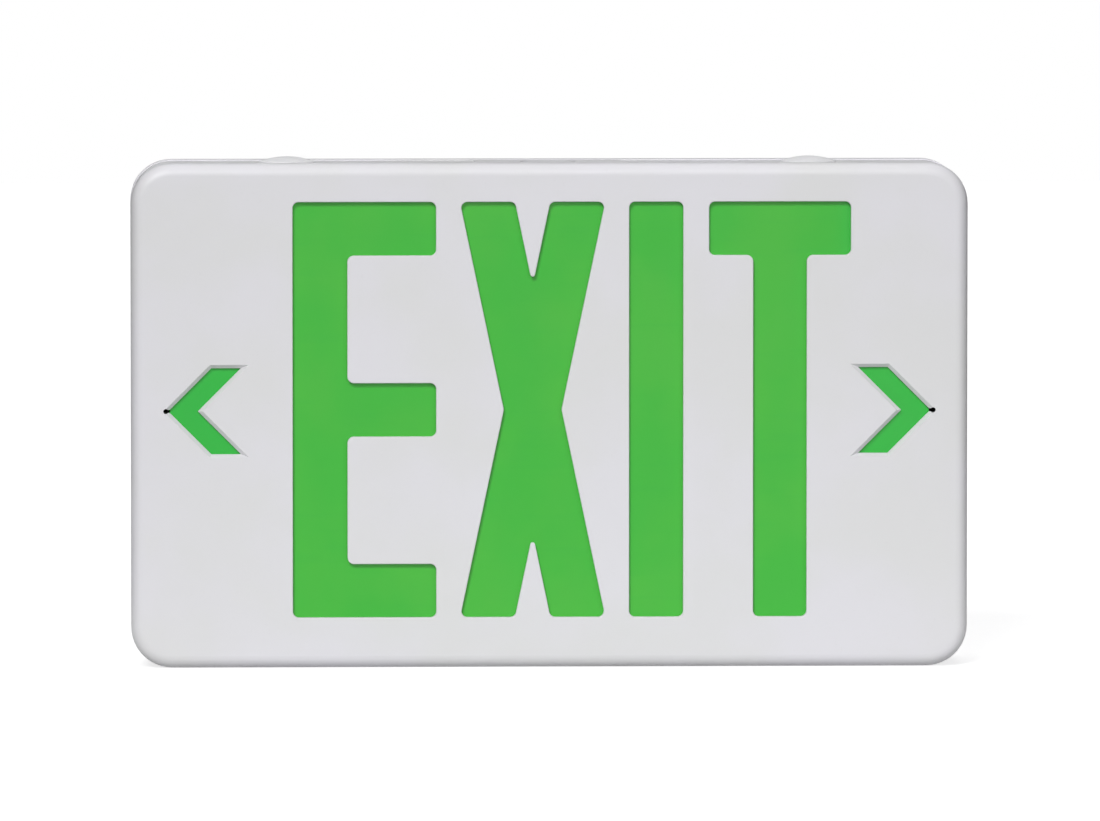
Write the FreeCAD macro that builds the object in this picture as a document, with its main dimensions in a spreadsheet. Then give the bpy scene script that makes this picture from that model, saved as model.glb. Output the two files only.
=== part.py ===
import FreeCAD, Part

"""Emergency exit light with a stencilled face, for wall mounting. Millimetres.

Frame: the origin is the centre of the wire entry on the wall plane. X runs to the viewer's right,
Z up, and the face looks along -Y, so a "lift" is a distance out from the wall towards the viewer.
"""

import math
import os
import re

import PartDesign
import Sketcher

Vector = FreeCAD.Vector
TO_VIEWER = FreeCAD.Rotation(Vector(1, 0, 0), 90)
TO_WALL = FreeCAD.Rotation(Vector(1, 0, 0), -90)
UPRIGHT = FreeCAD.Rotation()

DIMENSIONS = {
    # case
    "plate_width": 307.0,
    "plate_height": 185.0,
    "case_depth": 45.0,
    "corner_radius": 15.0,
    "face_depth": 9.0,
    "face_wall": 2.4,
    "face_rim": 2.2,
    "face_edge_round": 4.5,
    "face_inner_round": 2.0,
    "frame_inset": 0.4,
    "frame_wall": 2.2,
    "lip_thickness": 1.5,
    "lip_length": 5.0,
    "lip_root": 3.0,
    "weld": 0.5,
    "cover_clearance": 0.3,
    "back_depth": 8.0,
    "back_wall": 2.2,
    "back_rim": 2.0,
    "back_clearance": 0.2,
    "back_lip_length": 4.0,
    # detents that hold the face plate on the frame
    "detent_length": 30.0,
    "detent_width": 1.2,
    "detent_height": 0.2,
    "detent_lift": 38.2,
    "detent_spread": 84.0,
    # stencil: six inch letters with strokes a little over three quarters of an inch
    "letter_height": 152.4,
    "letter_middle": 2.2,
    "stroke": 19.6,
    "word_left": -94.2,
    "e_width": 52.5,
    "e_stem": 20.0,
    "x_width": 53.2,
    "x_arm": 20.1,
    "x_waist": 21.1,
    "x_apex": 30.9,
    "i_width": 19.8,
    "t_width": 52.0,
    "letter_gap": 8.8,
    "last_gap": 9.5,
    "outer_corner": 2.2,
    "inner_corner": 2.4,
    "apex_corner": 0.9,
    "stencil_edge": 0.4,
    # direction arrows
    "chevron_tip": 139.8,
    "chevron_half_height": 15.8,
    "chevron_arm": 10.9,
    "chevron_middle": 1.8,
    "chevron_bevel": 1.25,
    "tip_hole_radius": 0.95,
    "tip_hole_reach": 0.85,
    "tip_slot_half_width": 0.55,
    "tip_slot_overlap": 1.0,
    "lens_tip_hole_radius": 1.5,
    # pry slot in the lower rim
    "pry_middle": -6.4,
    "pry_width": 2.8,
    "pry_height": 1.0,
    # lens and the stakes that hold it
    "lens_half_width": 146.0,
    "lens_half_height": 82.0,
    "lens_corner": 6.0,
    "lens_thickness": 1.6,
    "stake_radius": 1.5,
    "stake_clearance": 0.1,
    "stake_head_radius": 2.6,
    "stake_head_height": 0.8,
    "stake_outer_across": 141.0,
    "stake_outer_up": 76.5,
    "stake_inner_across": 126.0,
    "stake_inner_up": 42.0,
    # corner screws
    "boss_across": 141.5,
    "boss_up": 81.0,
    "boss_radius": 4.8,
    "boss_length": 22.0,
    "gusset": 2.0,
    "pad_radius": 5.5,
    "screw_radius": 1.5,
    "screw_hole_radius": 1.7,
    "screw_well_radius": 3.8,
    "screw_well_depth": 3.4,
    "case_screw_length": 16.0,
    # proportions of every cross-recess screw: shares of its own radii and head height
    "screw_point": 0.6,
    "head_side": 0.55,
    "head_flat": 0.7,
    "cross_reach": 0.5,
    "cross_half_width": 0.13,
    "cross_depth": 0.6,
    "pilot_slack": 0.02,
    # top wall
    "plug_across": 96.0,
    "plug_lift": 22.0,
    "plug_hole_radius": 8.0,
    "plug_cap_radius": 10.2,
    "plug_cap_edge": 0.35,
    "plug_dome": 2.2,
    "plug_stem_radius": 7.9,
    "plug_catch_radius": 8.4,
    "plug_wall": 1.3,
    "plug_crown": 0.5,
    "plug_catch": 0.9,
    "canopy_pad_width": 54.0,
    "canopy_pad_depth": 24.0,
    "canopy_pad_height": 0.3,
    "canopy_disc_radius": 9.5,
    "canopy_groove": 0.8,
    "canopy_groove_depth": 1.0,
    # lamp boards and their rails
    "lamp_board_half_length": 125.0,
    "lamp_board_width": 12.0,
    "lamp_board_thickness": 1.6,
    "lamp_board_middle": 29.0,
    "lamp_board_gap": 2.0,
    "rail_width": 8.0,
    "rail_spacing": 110.0,
    "rail_leg": 1.1,
    "rail_hook": 0.8,
    "rail_slack": 0.1,
    "rail_weld": 0.05,
    "lamp_radius": 2.5,
    "lamp_flange_radius": 2.9,
    "lamp_flange": 1.0,
    "lamp_height": 8.6,
    "lamp_spacing": 25.0,
    # wall side
    "wire_hole_radius": 11.0,
    "box_screw_spacing": 88.9,
    "gang_screw_spacing": 83.3,
    "box_hole_radius": 2.4,
    "keyhole_across": 80.0,
    "keyhole_up": 50.0,
    "keyhole_head_radius": 4.5,
    "keyhole_slot_radius": 2.2,
    "keyhole_travel": 9.0,
    # driver board
    "board_left": -134.0,
    "board_low": -76.0,
    "board_width": 118.0,
    "board_height": 60.0,
    "board_thickness": 1.6,
    "board_stand": 9.0,
    "board_margin": 5.0,
    "board_post_radius": 3.4,
    "board_hole_radius": 1.6,
    "small_screw_radius": 1.2,
    "small_screw_clearance": 0.2,
    "small_screw_length": 7.0,
    "small_head_radius": 2.4,
    "small_head_height": 1.6,
    # transformer
    "core_width": 26.0,
    "core_height": 21.0,
    "core_stack": 10.0,
    "core_leg": 4.0,
    "core_window": 5.0,
    "core_left": 14.0,
    "core_low": 30.0,
    "bobbin_height": 20.0,
    "bobbin_flange": 1.0,
    "bobbin_wall": 0.7,
    "core_slack": 0.1,
    "winding_gap": 0.4,
    # board parts, placed from the board's lower left corner
    "film_width": 18.0,
    "film_thickness": 9.0,
    "film_height": 14.0,
    "film_left": 52.0,
    "film_low": 44.0,
    "film_round": 0.7,
    "can_radius": 5.0,
    "can_height": 16.0,
    "small_can_radius": 4.0,
    "small_can_height": 12.0,
    "can_across": 52.0,
    "can_up": 12.0,
    "can_spacing": 12.0,
    "can_foot_edge": 0.4,
    "can_top_edge": 0.5,
    "can_bead_lift": 1.6,
    "can_bead_half": 0.5,
    "can_bead_depth": 0.35,
    "diode_radius": 1.35,
    "diode_length": 5.2,
    "resistor_radius": 1.2,
    "resistor_length": 6.4,
    "axial_lead_radius": 0.35,
    "axial_span": 10.0,
    "axial_pitch": 5.0,
    "axial_gap": 0.3,
    "diode_left": 52.0,
    "diode_low": 22.0,
    "resistor_left": 72.0,
    "resistor_low": 7.0,
    "chip_width": 9.6,
    "chip_height": 6.4,
    "chip_thickness": 3.3,
    "chip_stand": 0.7,
    "chip_left": 71.0,
    "chip_low": 29.0,
    "chip_leg": 0.6,
    "chip_pitch": 2.54,
    "transistor_width": 10.0,
    "transistor_body": 9.0,
    "transistor_height": 15.5,
    "transistor_thickness": 4.5,
    "transistor_tab": 1.3,
    "transistor_left": 28.0,
    "transistor_low": 14.0,
    "transistor_stand": 4.0,
    "transistor_leg": 0.8,
    "transistor_leg_thickness": 0.5,
    "tab_hole_radius": 1.9,
    "tab_hole_drop": 3.0,
    "fuse_radius": 2.6,
    "fuse_glass_radius": 2.35,
    "fuse_cap": 5.0,
    "fuse_length": 20.0,
    "fuse_left": 84.0,
    "fuse_up": 53.0,
    "fuse_stand": 4.2,
    "clip_sheet": 0.5,
    "clip_width": 3.6,
    "clip_grip": 0.6,
    "disc_radius": 4.5,
    "disc_thickness": 4.0,
    "disc_across": 79.0,
    "disc_up": 45.0,
    "disc_stand": 6.2,
    "disc_round": 1.2,
    "disc_pitch": 5.0,
    "disc_leg_sink": 0.7,
    # supply terminal, its wire mouths towards the wire entry
    "terminal_width": 10.0,
    "terminal_length": 16.5,
    "terminal_height": 12.0,
    "terminal_middle": 36.0,
    "terminal_mouth_depth": 6.0,
    "terminal_screw_gap": 0.15,
    "terminal_screw_height": 1.7,
    "terminal_screw_edge": 0.3,
    "terminal_slot_half_width": 0.3,
    "terminal_slot_depth": 0.8,
    "terminal_pitch": 5.0,
    "terminal_mouth_radius": 1.6,
    "terminal_mouth_lift": 4.5,
    "terminal_well_radius": 1.9,
    "terminal_well_depth": 3.0,
    # sockets for the leads
    "socket_width": 5.8,
    "socket_length": 7.5,
    "socket_height": 6.0,
    "socket_pin_pitch": 2.5,
    "upper_socket_across": 30.0,
    "lower_socket_across": 20.0,
    "switch_socket_up": 13.0,
    "battery_socket_up": 23.0,
    "battery_plug_length": 6.0,
    "battery_plug_slack": 0.5,
    "latch_length": 4.2,
    "latch_half_width": 1.0,
    "latch_thickness": 0.9,
    "lead_radius": 0.75,
    # battery
    "cell_radius": 7.1,
    "cell_pitch": 14.0,
    "pack_length": 50.0,
    "pack_left": 34.0,
    "pack_up": -54.5,
    "pack_lift": 11.5,
    "pack_web": 10.5,
    "cradle_thickness": 2.0,
    "cradle_spacing": 34.0,
    "cradle_inset": 7.0,
    "cradle_lift": 9.0,
    "cradle_margin": 1.6,
    "cradle_slack": 0.05,
    "bracket_width": 10.0,
    "bracket_sheet": 1.0,
    "bracket_post_reach": 27.5,
    "bracket_post_radius": 3.2,
    "bracket_post_lift": 12.0,
    "bracket_foot": 31.5,
    "bracket_leg": 22.4,
    # test switch and pilot lamp in the lower wall
    "switch_lift": 16.5,
    "button_across": 108.0,
    "pilot_across": 119.0,
    "switch_board_left": 96.0,
    "switch_board_width": 36.0,
    "switch_board_depth": 11.0,
    "switch_board_underside": -80.0,
    "switch_post_inset": 4.0,
    "switch_post_radius": 2.4,
    "button_radius": 3.5,
    "button_edge": 0.4,
    "button_clearance": 0.3,
    "button_recess": 0.6,
    "button_flange_radius": 4.6,
    "button_flange": 1.0,
    "button_stem_radius": 1.4,
    "switch_size": 7.0,
    "switch_height": 4.5,
    "switch_bore_radius": 1.75,
    "switch_bore_depth": 3.0,
    "stem_entry": 0.5,
    "pilot_clearance": 0.12,
    "pilot_tip": 0.3,
    "spring_radius": 2.4,
    "spring_wire": 0.28,
    "spring_turns": 4.0,
}

DOC = FreeCAD.newDocument("exit_light")
SHEET = DOC.addObject("Spreadsheet::Sheet", "dims")
ALIAS_WORD = re.compile(r"\b(" + "|".join(DIMENSIONS) + r")\b")
NODES = []
COIL_STATIONS = 8  # points that a spring turn is drawn through
BEND_SHARE = 0.45  # the part of a straight run that a bend may take
TUBE_TOLERANCE = 0.02  # how far a tube may be from its section times its length


def fill_sheet():
    """Writes every driving dimension into the sheet, one alias a row."""
    for row, (alias, size) in enumerate(DIMENSIONS.items(), start=1):
        SHEET.set(f"A{row}", alias)
        SHEET.set(f"B{row}", str(size))
        SHEET.setAlias(f"B{row}", alias)
    DOC.recompute()


def bound(text):
    """The expression with each alias read from the sheet."""
    return ALIAS_WORD.sub(r"dims.\1", str(text))


def value(text):
    """The number that an expression of the sheet's aliases gives now."""
    return float(SHEET.evalExpression(bound(text)))


def bind(thing, sizes):
    """Binds properties of a document object to expressions of the sheet."""
    for name, text in sizes.items():
        thing.setExpression(name, bound(text))


def place(thing, across, lift, up, turn=UPRIGHT):
    """Puts an object at (across, -lift, up), bound to the sheet."""
    thing.Placement = FreeCAD.Placement(Vector(), turn)
    bind(thing, {
        "Placement.Base.x": across,
        "Placement.Base.y": f"-({lift})",
        "Placement.Base.z": up,
    })


def node(thing, label):
    """Marks an object as a sub-part of its own, named label."""
    thing.Label = label
    NODES.append(thing)
    return thing


# ---------------------------------------------------------------- sketches


def new_body(label):
    body = DOC.addObject("PartDesign::Body", label)
    body.Label = label
    return body


def origin_plane(body, role):
    return next(item for item in body.Origin.OriginFeatures if item.Role == role)


def draw(body, name, lift="0", plane="XZ_Plane"):
    """An empty sketch on an origin plane of its body, lifted along the plane's normal."""
    sketch = body.newObject("Sketcher::SketchObject", name)
    sketch.AttachmentSupport = [(origin_plane(body, plane), "")]
    sketch.MapMode = "FlatFace"
    bind(sketch, {"AttachmentOffset.Base.z": lift})
    return sketch


def fix(sketch, kind, where, text):
    """Adds a dimension to a sketch and binds it to the sheet."""
    index = sketch.addConstraint(Sketcher.Constraint(kind, *where, value(text)))
    sketch.setExpression(f"Constraints[{index}]", bound(text))


def locate(sketch, geometry, point, across, up):
    fix(sketch, "DistanceX", (-1, 1, geometry, point), across)
    fix(sketch, "DistanceY", (-1, 1, geometry, point), up)


def polygon(sketch, corners):
    """A closed outline through corners, each a pair of expressions."""
    first = sketch.GeometryCount
    spots = [Vector(value(across), value(up), 0) for across, up in corners]
    for start, end in zip(spots, spots[1:] + spots[:1]):
        sketch.addGeometry(Part.LineSegment(start, end))
    for index, (across, up) in enumerate(corners):
        following = first + (index + 1) % len(corners)
        sketch.addConstraint(Sketcher.Constraint("Coincident", first + index, 2, following, 1))
        locate(sketch, first + index, 1, across, up)


def rectangle(sketch, left, low, right, high):
    polygon(sketch, [(left, low), (right, low), (right, high), (left, high)])


def circle(sketch, across, up, radius):
    spot = Vector(value(across), value(up), 0)
    index = sketch.addGeometry(Part.Circle(spot, Vector(0, 0, 1), value(radius)))
    locate(sketch, index, 3, across, up)
    fix(sketch, "Radius", (index,), radius)


def rounded_rectangle(sketch, half_width, half_height, radius):
    """A centred rectangle with tangent corner arcs: lines low, right, high, left, then arcs."""
    wide, tall, bend = value(half_width), value(half_height), value(radius)
    first = sketch.GeometryCount
    lines = [
        (Vector(bend - wide, -tall, 0), Vector(wide - bend, -tall, 0)),
        (Vector(wide, bend - tall, 0), Vector(wide, tall - bend, 0)),
        (Vector(wide - bend, tall, 0), Vector(bend - wide, tall, 0)),
        (Vector(-wide, tall - bend, 0), Vector(-wide, bend - tall, 0)),
    ]
    centres = [(1, -1), (1, 1), (-1, 1), (-1, -1)]
    for start, end in lines:
        sketch.addGeometry(Part.LineSegment(start, end))
    for corner, (side, level) in enumerate(centres):
        middle = Vector(side * (wide - bend), level * (tall - bend), 0)
        start = math.radians(90 * corner - 90)
        round_corner = Part.Circle(middle, Vector(0, 0, 1), bend)
        sketch.addGeometry(Part.ArcOfCircle(round_corner, start, start + math.pi / 2))
    for corner in range(4):
        line, arc, following = first + corner, first + 4 + corner, first + (corner + 1) % 4
        sketch.addConstraint(Sketcher.Constraint("Tangent", line, 2, arc, 1))
        sketch.addConstraint(Sketcher.Constraint("Tangent", arc, 2, following, 1))
        level = "Vertical" if corner % 2 else "Horizontal"
        sketch.addConstraint(Sketcher.Constraint(level, line))
        if corner:
            sketch.addConstraint(Sketcher.Constraint("Equal", first + 4, arc))
    fix(sketch, "Radius", (first + 4,), radius)
    fix(sketch, "DistanceY", (-1, 1, first, 1), f"-({half_height})")
    fix(sketch, "DistanceX", (-1, 1, first + 1, 1), half_width)
    fix(sketch, "DistanceY", (-1, 1, first + 2, 1), half_height)
    fix(sketch, "DistanceX", (-1, 1, first + 3, 1), f"-({half_width})")


def case_outline(sketch, inset):
    """The case's own rounded rectangle, drawn an inset inside its outer edge."""
    rounded_rectangle(
        sketch,
        f"plate_width/2 - ({inset})",
        f"plate_height/2 - ({inset})",
        f"corner_radius - ({inset})",
    )


# ---------------------------------------------------------------- features


def pad(body, sketch, length, name, backwards=False):
    """Adds material along the sketch's normal, or against it."""
    feature = body.newObject("PartDesign::Pad", name)
    feature.Profile = sketch
    feature.Reversed = backwards
    bind(feature, {"Length": length})
    DOC.recompute()
    return feature


def pocket(body, sketch, length, name, along=False):
    """Cuts against the sketch's normal, or along it, and checks that it removed something."""
    before = body.Shape.Volume
    feature = body.newObject("PartDesign::Pocket", name)
    feature.Profile = sketch
    feature.Reversed = along
    bind(feature, {"Length": length})
    DOC.recompute()
    if not body.Shape.Volume < before - 1e-6:
        raise RuntimeError(f"{name} in {body.Label} cut nothing")
    return feature


def revolve(body, sketch, name):
    """Turns a half profile around the sketch's own vertical axis."""
    feature = body.newObject("PartDesign::Revolution", name)
    feature.Profile = sketch
    feature.ReferenceAxis = (sketch, ["V_Axis"])
    feature.Angle = 360
    DOC.recompute()
    return feature


def dress(body, kind, size_name, size, chosen, name):
    """A fillet or chamfer on the edges of the body's tip that pass the test."""
    base = body.Tip
    edges = [
        f"Edge{number}"
        for number, edge in enumerate(base.Shape.Edges, start=1)
        if chosen(edge)
    ]
    if not edges:
        raise RuntimeError(f"{name} in {body.Label} found no edges")
    feature = body.newObject(f"PartDesign::{kind}", name)
    feature.Base = (base, edges)
    bind(feature, {size_name: size})
    DOC.recompute()
    return feature


def fillet(body, radius, chosen, name):
    return dress(body, "Fillet", "Radius", radius, chosen, name)


def chamfer(body, size, chosen, name):
    return dress(body, "Chamfer", "Size", size, chosen, name)


def row(body, originals, sketch, length, count, name, axis="N_Axis"):
    """Repeats features evenly along an axis of a sketch."""
    feature = body.newObject("PartDesign::LinearPattern", name)
    feature.Originals = originals
    feature.Direction = (sketch, [axis])
    feature.Occurrences = count
    bind(feature, {"Length": length})
    body.Tip = feature
    DOC.recompute()
    return feature


def mirrored(body, originals, role, name):
    """Repeats features on the other side of an origin plane."""
    feature = body.newObject("PartDesign::Mirrored", name)
    feature.Originals = originals
    feature.MirrorPlane = (origin_plane(body, role), [""])
    body.Tip = feature
    DOC.recompute()
    return feature


def lies_at(edge, axis, level):
    """True where the whole edge lies in the plane axis = level."""
    low, high = getattr(edge.BoundBox, f"{axis}Min"), getattr(edge.BoundBox, f"{axis}Max")
    return abs(low - level) < 1e-4 and abs(high - level) < 1e-4


def crosses_wall_at(edge, spots):
    """True for a straight edge along Y that passes through one of the (x, z) spots."""
    box = edge.BoundBox
    if box.XLength > 1e-4 or box.ZLength > 1e-4:
        return False
    return any(math.hypot(box.XMin - x, box.ZMin - z) < 1e-3 for x, z in spots)


def four_corners(across, up):
    """Four spots, one a quarter, as pairs of expressions."""
    return [(f"{side}({across})", f"{level}({up})") for side in ("-", "") for level in ("-", "")]


# ---------------------------------------------------------------- stencil outlines

LETTER_TOP = "letter_middle + letter_height/2"
LETTER_FOOT = "letter_middle - letter_height/2"
X_MIDDLE = "(word_left + e_width + letter_gap + x_width/2)"
I_LEFT = "word_left + e_width + letter_gap + x_width + letter_gap"
T_LEFT = f"{I_LEFT} + i_width + last_gap"
STEM_LEFT = f"{T_LEFT} + (t_width - stroke)/2"


def letter_e():
    """Corners of the first letter, and which of them are inner ones."""
    left, stem, right = "word_left", "word_left + e_stem", "word_left + e_width"
    arm_top, arm_foot = "letter_middle + stroke/2", "letter_middle - stroke/2"
    corners = [
        (left, LETTER_FOOT), (right, LETTER_FOOT),
        (right, f"{LETTER_FOOT} + stroke"), (stem, f"{LETTER_FOOT} + stroke"),
        (stem, arm_foot), (right, arm_foot), (right, arm_top), (stem, arm_top),
        (stem, f"{LETTER_TOP} - stroke"), (right, f"{LETTER_TOP} - stroke"),
        (right, LETTER_TOP), (left, LETTER_TOP),
    ]
    return corners, {3, 4, 7, 8}, set()


def letter_x():
    half, arm, waist = "x_width/2", "(x_width/2 - x_arm)", "x_waist/2"
    corners = [
        (f"{X_MIDDLE} - {half}", LETTER_FOOT), (f"{X_MIDDLE} - {arm}", LETTER_FOOT),
        (X_MIDDLE, f"{LETTER_FOOT} + x_apex"), (f"{X_MIDDLE} + {arm}", LETTER_FOOT),
        (f"{X_MIDDLE} + {half}", LETTER_FOOT), (f"{X_MIDDLE} + {waist}", "letter_middle"),
        (f"{X_MIDDLE} + {half}", LETTER_TOP), (f"{X_MIDDLE} + {arm}", LETTER_TOP),
        (X_MIDDLE, f"{LETTER_TOP} - x_apex"), (f"{X_MIDDLE} - {arm}", LETTER_TOP),
        (f"{X_MIDDLE} - {half}", LETTER_TOP), (f"{X_MIDDLE} - {waist}", "letter_middle"),
    ]
    return corners, {5, 11}, {2, 8}


def letter_i():
    right = f"{I_LEFT} + i_width"
    corners = [
        (I_LEFT, LETTER_FOOT), (right, LETTER_FOOT), (right, LETTER_TOP), (I_LEFT, LETTER_TOP),
    ]
    return corners, set(), set()


def letter_t():
    right, stem_right = f"{T_LEFT} + t_width", f"{STEM_LEFT} + stroke"
    under = f"{LETTER_TOP} - stroke"
    corners = [
        (STEM_LEFT, LETTER_FOOT), (stem_right, LETTER_FOOT), (stem_right, under),
        (right, under), (right, LETTER_TOP), (T_LEFT, LETTER_TOP),
        (T_LEFT, under), (STEM_LEFT, under),
    ]
    return corners, {2, 7}, set()


def chevron(side):
    """One direction arrow, pointing outwards on side "" (right) or "-" (left)."""
    back = "chevron_tip - chevron_half_height"
    reach = [
        ("chevron_tip", 0), (back, 1), (f"{back} - chevron_arm", 1),
        ("chevron_tip - chevron_arm", 0), (f"{back} - chevron_arm", -1), (back, -1),
    ]
    return [
        (f"{side}({across})", f"chevron_middle + {level}*chevron_half_height")
        for across, level in reach
    ]


# ---------------------------------------------------------------- case

STAKES = (
    four_corners("stake_outer_across", "stake_outer_up")
    + four_corners("stake_inner_across", "stake_inner_up")
)
REAR_OF_FACE = "case_depth - face_depth"
BEHIND_WALL = "case_depth - face_wall"
LENS_REAR = "case_depth - face_wall - lens_thickness"
TIP_HOLE = "chevron_tip + tip_hole_reach"


def cut_stencil(body):
    """Cuts the letters through the face and rounds their corners and front edges."""
    letters = [letter_e(), letter_x(), letter_i(), letter_t()]
    sketch = draw(body, "stencil_outline", "case_depth")
    spots = {"outer_corner": [], "inner_corner": [], "apex_corner": []}
    for corners, inner, apex in letters:
        polygon(sketch, corners)
        for index, (across, up) in enumerate(corners):
            kind = "inner_corner" if index in inner else "outer_corner"
            kind = "apex_corner" if index in apex else kind
            spots[kind].append((value(across), value(up)))
    pocket(body, sketch, "face_wall", "stencil")
    for radius, places in spots.items():
        fillet(body, radius, lambda edge: crosses_wall_at(edge, places), f"stencil_{radius}")
    soften_front_edges(body, "stencil_front_edge")


def soften_front_edges(body, name):
    """Rounds the front edges of every opening that is cut so far."""
    front = -value("case_depth")
    highest = value("plate_height/2 - face_edge_round - face_rim")
    widest = value("plate_width/2")

    def on_opening(edge):
        box = edge.BoundBox
        inside = max(abs(box.ZMin), abs(box.ZMax)) < highest and box.XLength < widest
        return inside and lies_at(edge, "Y", front)

    fillet(body, "stencil_edge", on_opening, name)


def cut_chevrons(body):
    """Cuts both arrows with their mitred bevel and the small round relief at each tip."""
    sketch = draw(body, "chevron_outline", "case_depth")
    for side in ("", "-"):
        polygon(sketch, chevron(side))
    pocket(body, sketch, "face_wall", "chevrons")
    front = -value("case_depth")
    inner_limit = value("chevron_tip - chevron_half_height - chevron_arm") - 0.1
    outer_limit = value("chevron_tip") + 0.1

    def on_chevron(edge):
        reach = sorted((abs(edge.BoundBox.XMin), abs(edge.BoundBox.XMax)))
        return lies_at(edge, "Y", front) and reach[0] > inner_limit and reach[1] < outer_limit

    chamfer(body, "chevron_bevel", on_chevron, "chevron_bevels")
    holes = draw(body, "tip_hole_outline", "case_depth")
    for side in ("", "-"):
        circle(holes, f"{side}({TIP_HOLE})", "chevron_middle", "tip_hole_radius")
    pocket(body, holes, "face_wall", "tip_holes")
    slots = draw(body, "tip_slot_outline", "case_depth")
    for side in ("", "-"):
        rectangle(
            slots, f"{side}(chevron_tip - tip_slot_overlap)", "chevron_middle - tip_slot_half_width",
            f"{side}({TIP_HOLE})", "chevron_middle + tip_slot_half_width",
        )
    pocket(body, slots, "face_wall", "tip_slots")


def add_stakes(body):
    """Pins that go through the lens, with the heads that staking leaves behind it."""
    pins = draw(body, "stake_pins", BEHIND_WALL)
    for across, up in STAKES:
        circle(pins, across, up, "stake_radius")
    pad(body, pins, "lens_thickness", "stakes", backwards=True)
    heads = draw(body, "stake_head_outline", LENS_REAR)
    for across, up in STAKES:
        circle(heads, across, up, "stake_head_radius")
    pad(body, heads, "stake_head_height", "stake_heads", backwards=True)


def add_detents(body):
    """Low beads inside the long sides of the rim, which click over the frame's lip."""
    sketch = draw(body, "detent_outline", "detent_lift")
    inside = "(plate_height/2 - face_rim)"
    for side in ("-", ""):
        left = f"{side}detent_spread - detent_length/2"
        for level in ("-", ""):
            rectangle(
                sketch,
                left,
                f"{level}({inside} - detent_height)",
                f"{left} + detent_length",
                f"{level}({inside} + detent_height)",
            )
    pad(body, sketch, "detent_width", "detents")


def face_plate():
    """The stencilled face: a shallow tray with a large outer edge round."""
    body = new_body("face_plate")
    outline = draw(body, "outline", REAR_OF_FACE)
    case_outline(outline, "0")
    pad(body, outline, "face_depth", "tray")
    front = -value("case_depth")
    fillet(body, "face_edge_round", lambda edge: lies_at(edge, "Y", front), "front_round")
    hollow = draw(body, "hollow_outline", REAR_OF_FACE)
    case_outline(hollow, "face_rim")
    pocket(body, hollow, "face_depth - face_wall", "hollow", along=True)
    floor = -value(BEHIND_WALL)
    fillet(body, "face_inner_round", lambda edge: lies_at(edge, "Y", floor), "inner_round")
    cut_stencil(body)
    cut_chevrons(body)
    add_stakes(body)
    add_detents(body)
    notch = draw(body, "pry_outline", REAR_OF_FACE)
    rectangle(
        notch,
        "pry_middle - pry_width/2",
        "-plate_height/2 - pry_height",
        "pry_middle + pry_width/2",
        "-plate_height/2 + pry_height",
    )
    pocket(body, notch, "face_depth - face_edge_round + pry_height", "pry_slot", along=True)
    return node(body, "face_plate")


def colour_lens():
    """The green panel, staked close behind the face and open behind the arrow tips."""
    body = new_body("colour_lens")
    sketch = draw(body, "outline", LENS_REAR)
    rounded_rectangle(sketch, "lens_half_width", "lens_half_height", "lens_corner")
    for across, up in STAKES:
        circle(sketch, across, up, "stake_radius + stake_clearance")
    for side in ("", "-"):
        circle(sketch, f"{side}({TIP_HOLE})", "chevron_middle", "lens_tip_hole_radius")
    pad(body, sketch, "lens_thickness", "panel")
    return node(body, "colour_lens")


FRAME_TOP = "(plate_height/2 - frame_inset)"
FRAME_CEILING = "(plate_height/2 - frame_inset - frame_wall)"
LAMP_BOARD_TOP = "(plate_height/2 - frame_inset - frame_wall - lamp_board_gap)"


def ring(body, outer, inner, low, length, name):
    """A band of the case outline between two insets."""
    sketch = draw(body, f"{name}_outline", low)
    case_outline(sketch, outer)
    case_outline(sketch, inner)
    return pad(body, sketch, length, name)


def add_lips(body):
    """Inner bands that the face plate and the back plate slip over."""
    front = "face_rim + cover_clearance"
    ring(
        body, front, f"{front} + lip_thickness",
        f"{REAR_OF_FACE} - lip_root", "lip_root + lip_length", "front_lip",
    )
    rear = "back_rim + back_clearance"
    ring(
        body, rear, f"{rear} + lip_thickness",
        "back_depth - back_lip_length", "back_lip_length + lip_root", "rear_lip",
    )


def add_corner_bosses(body):
    """Screw bosses with gussets to the two walls beside them."""
    sketch = draw(body, "boss_outline", "back_depth")
    for across, up in four_corners("boss_across", "boss_up"):
        circle(sketch, across, up, "boss_radius")
    pad(body, sketch, "boss_length", "bosses")
    wall_inside = "plate_width/2 - frame_inset - frame_wall + weld"
    for level, name in (("", "upper"), ("-", "lower")):
        webs = draw(body, f"{name}_gusset_outline", "back_depth")
        rectangle(
            webs, "boss_across - gusset/2", f"{level}(boss_up + boss_radius/2)",
            "boss_across + gusset/2", f"{level}({FRAME_CEILING} + weld)",
        )
        rectangle(
            webs, "boss_across + boss_radius/2", f"{level}(boss_up - gusset/2)",
            wall_inside, f"{level}(boss_up + gusset/2)",
        )
        right = pad(body, webs, "boss_length", f"{name}_gussets")
        mirrored(body, [right], "YZ_Plane", f"{name}_gussets_left")
    pilots = draw(body, "boss_pilot_outline", "back_depth")
    for across, up in four_corners("boss_across", "boss_up"):
        circle(pilots, across, up, "screw_radius + pilot_slack")
    pocket(body, pilots, "case_screw_length", "boss_pilots", along=True)


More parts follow.
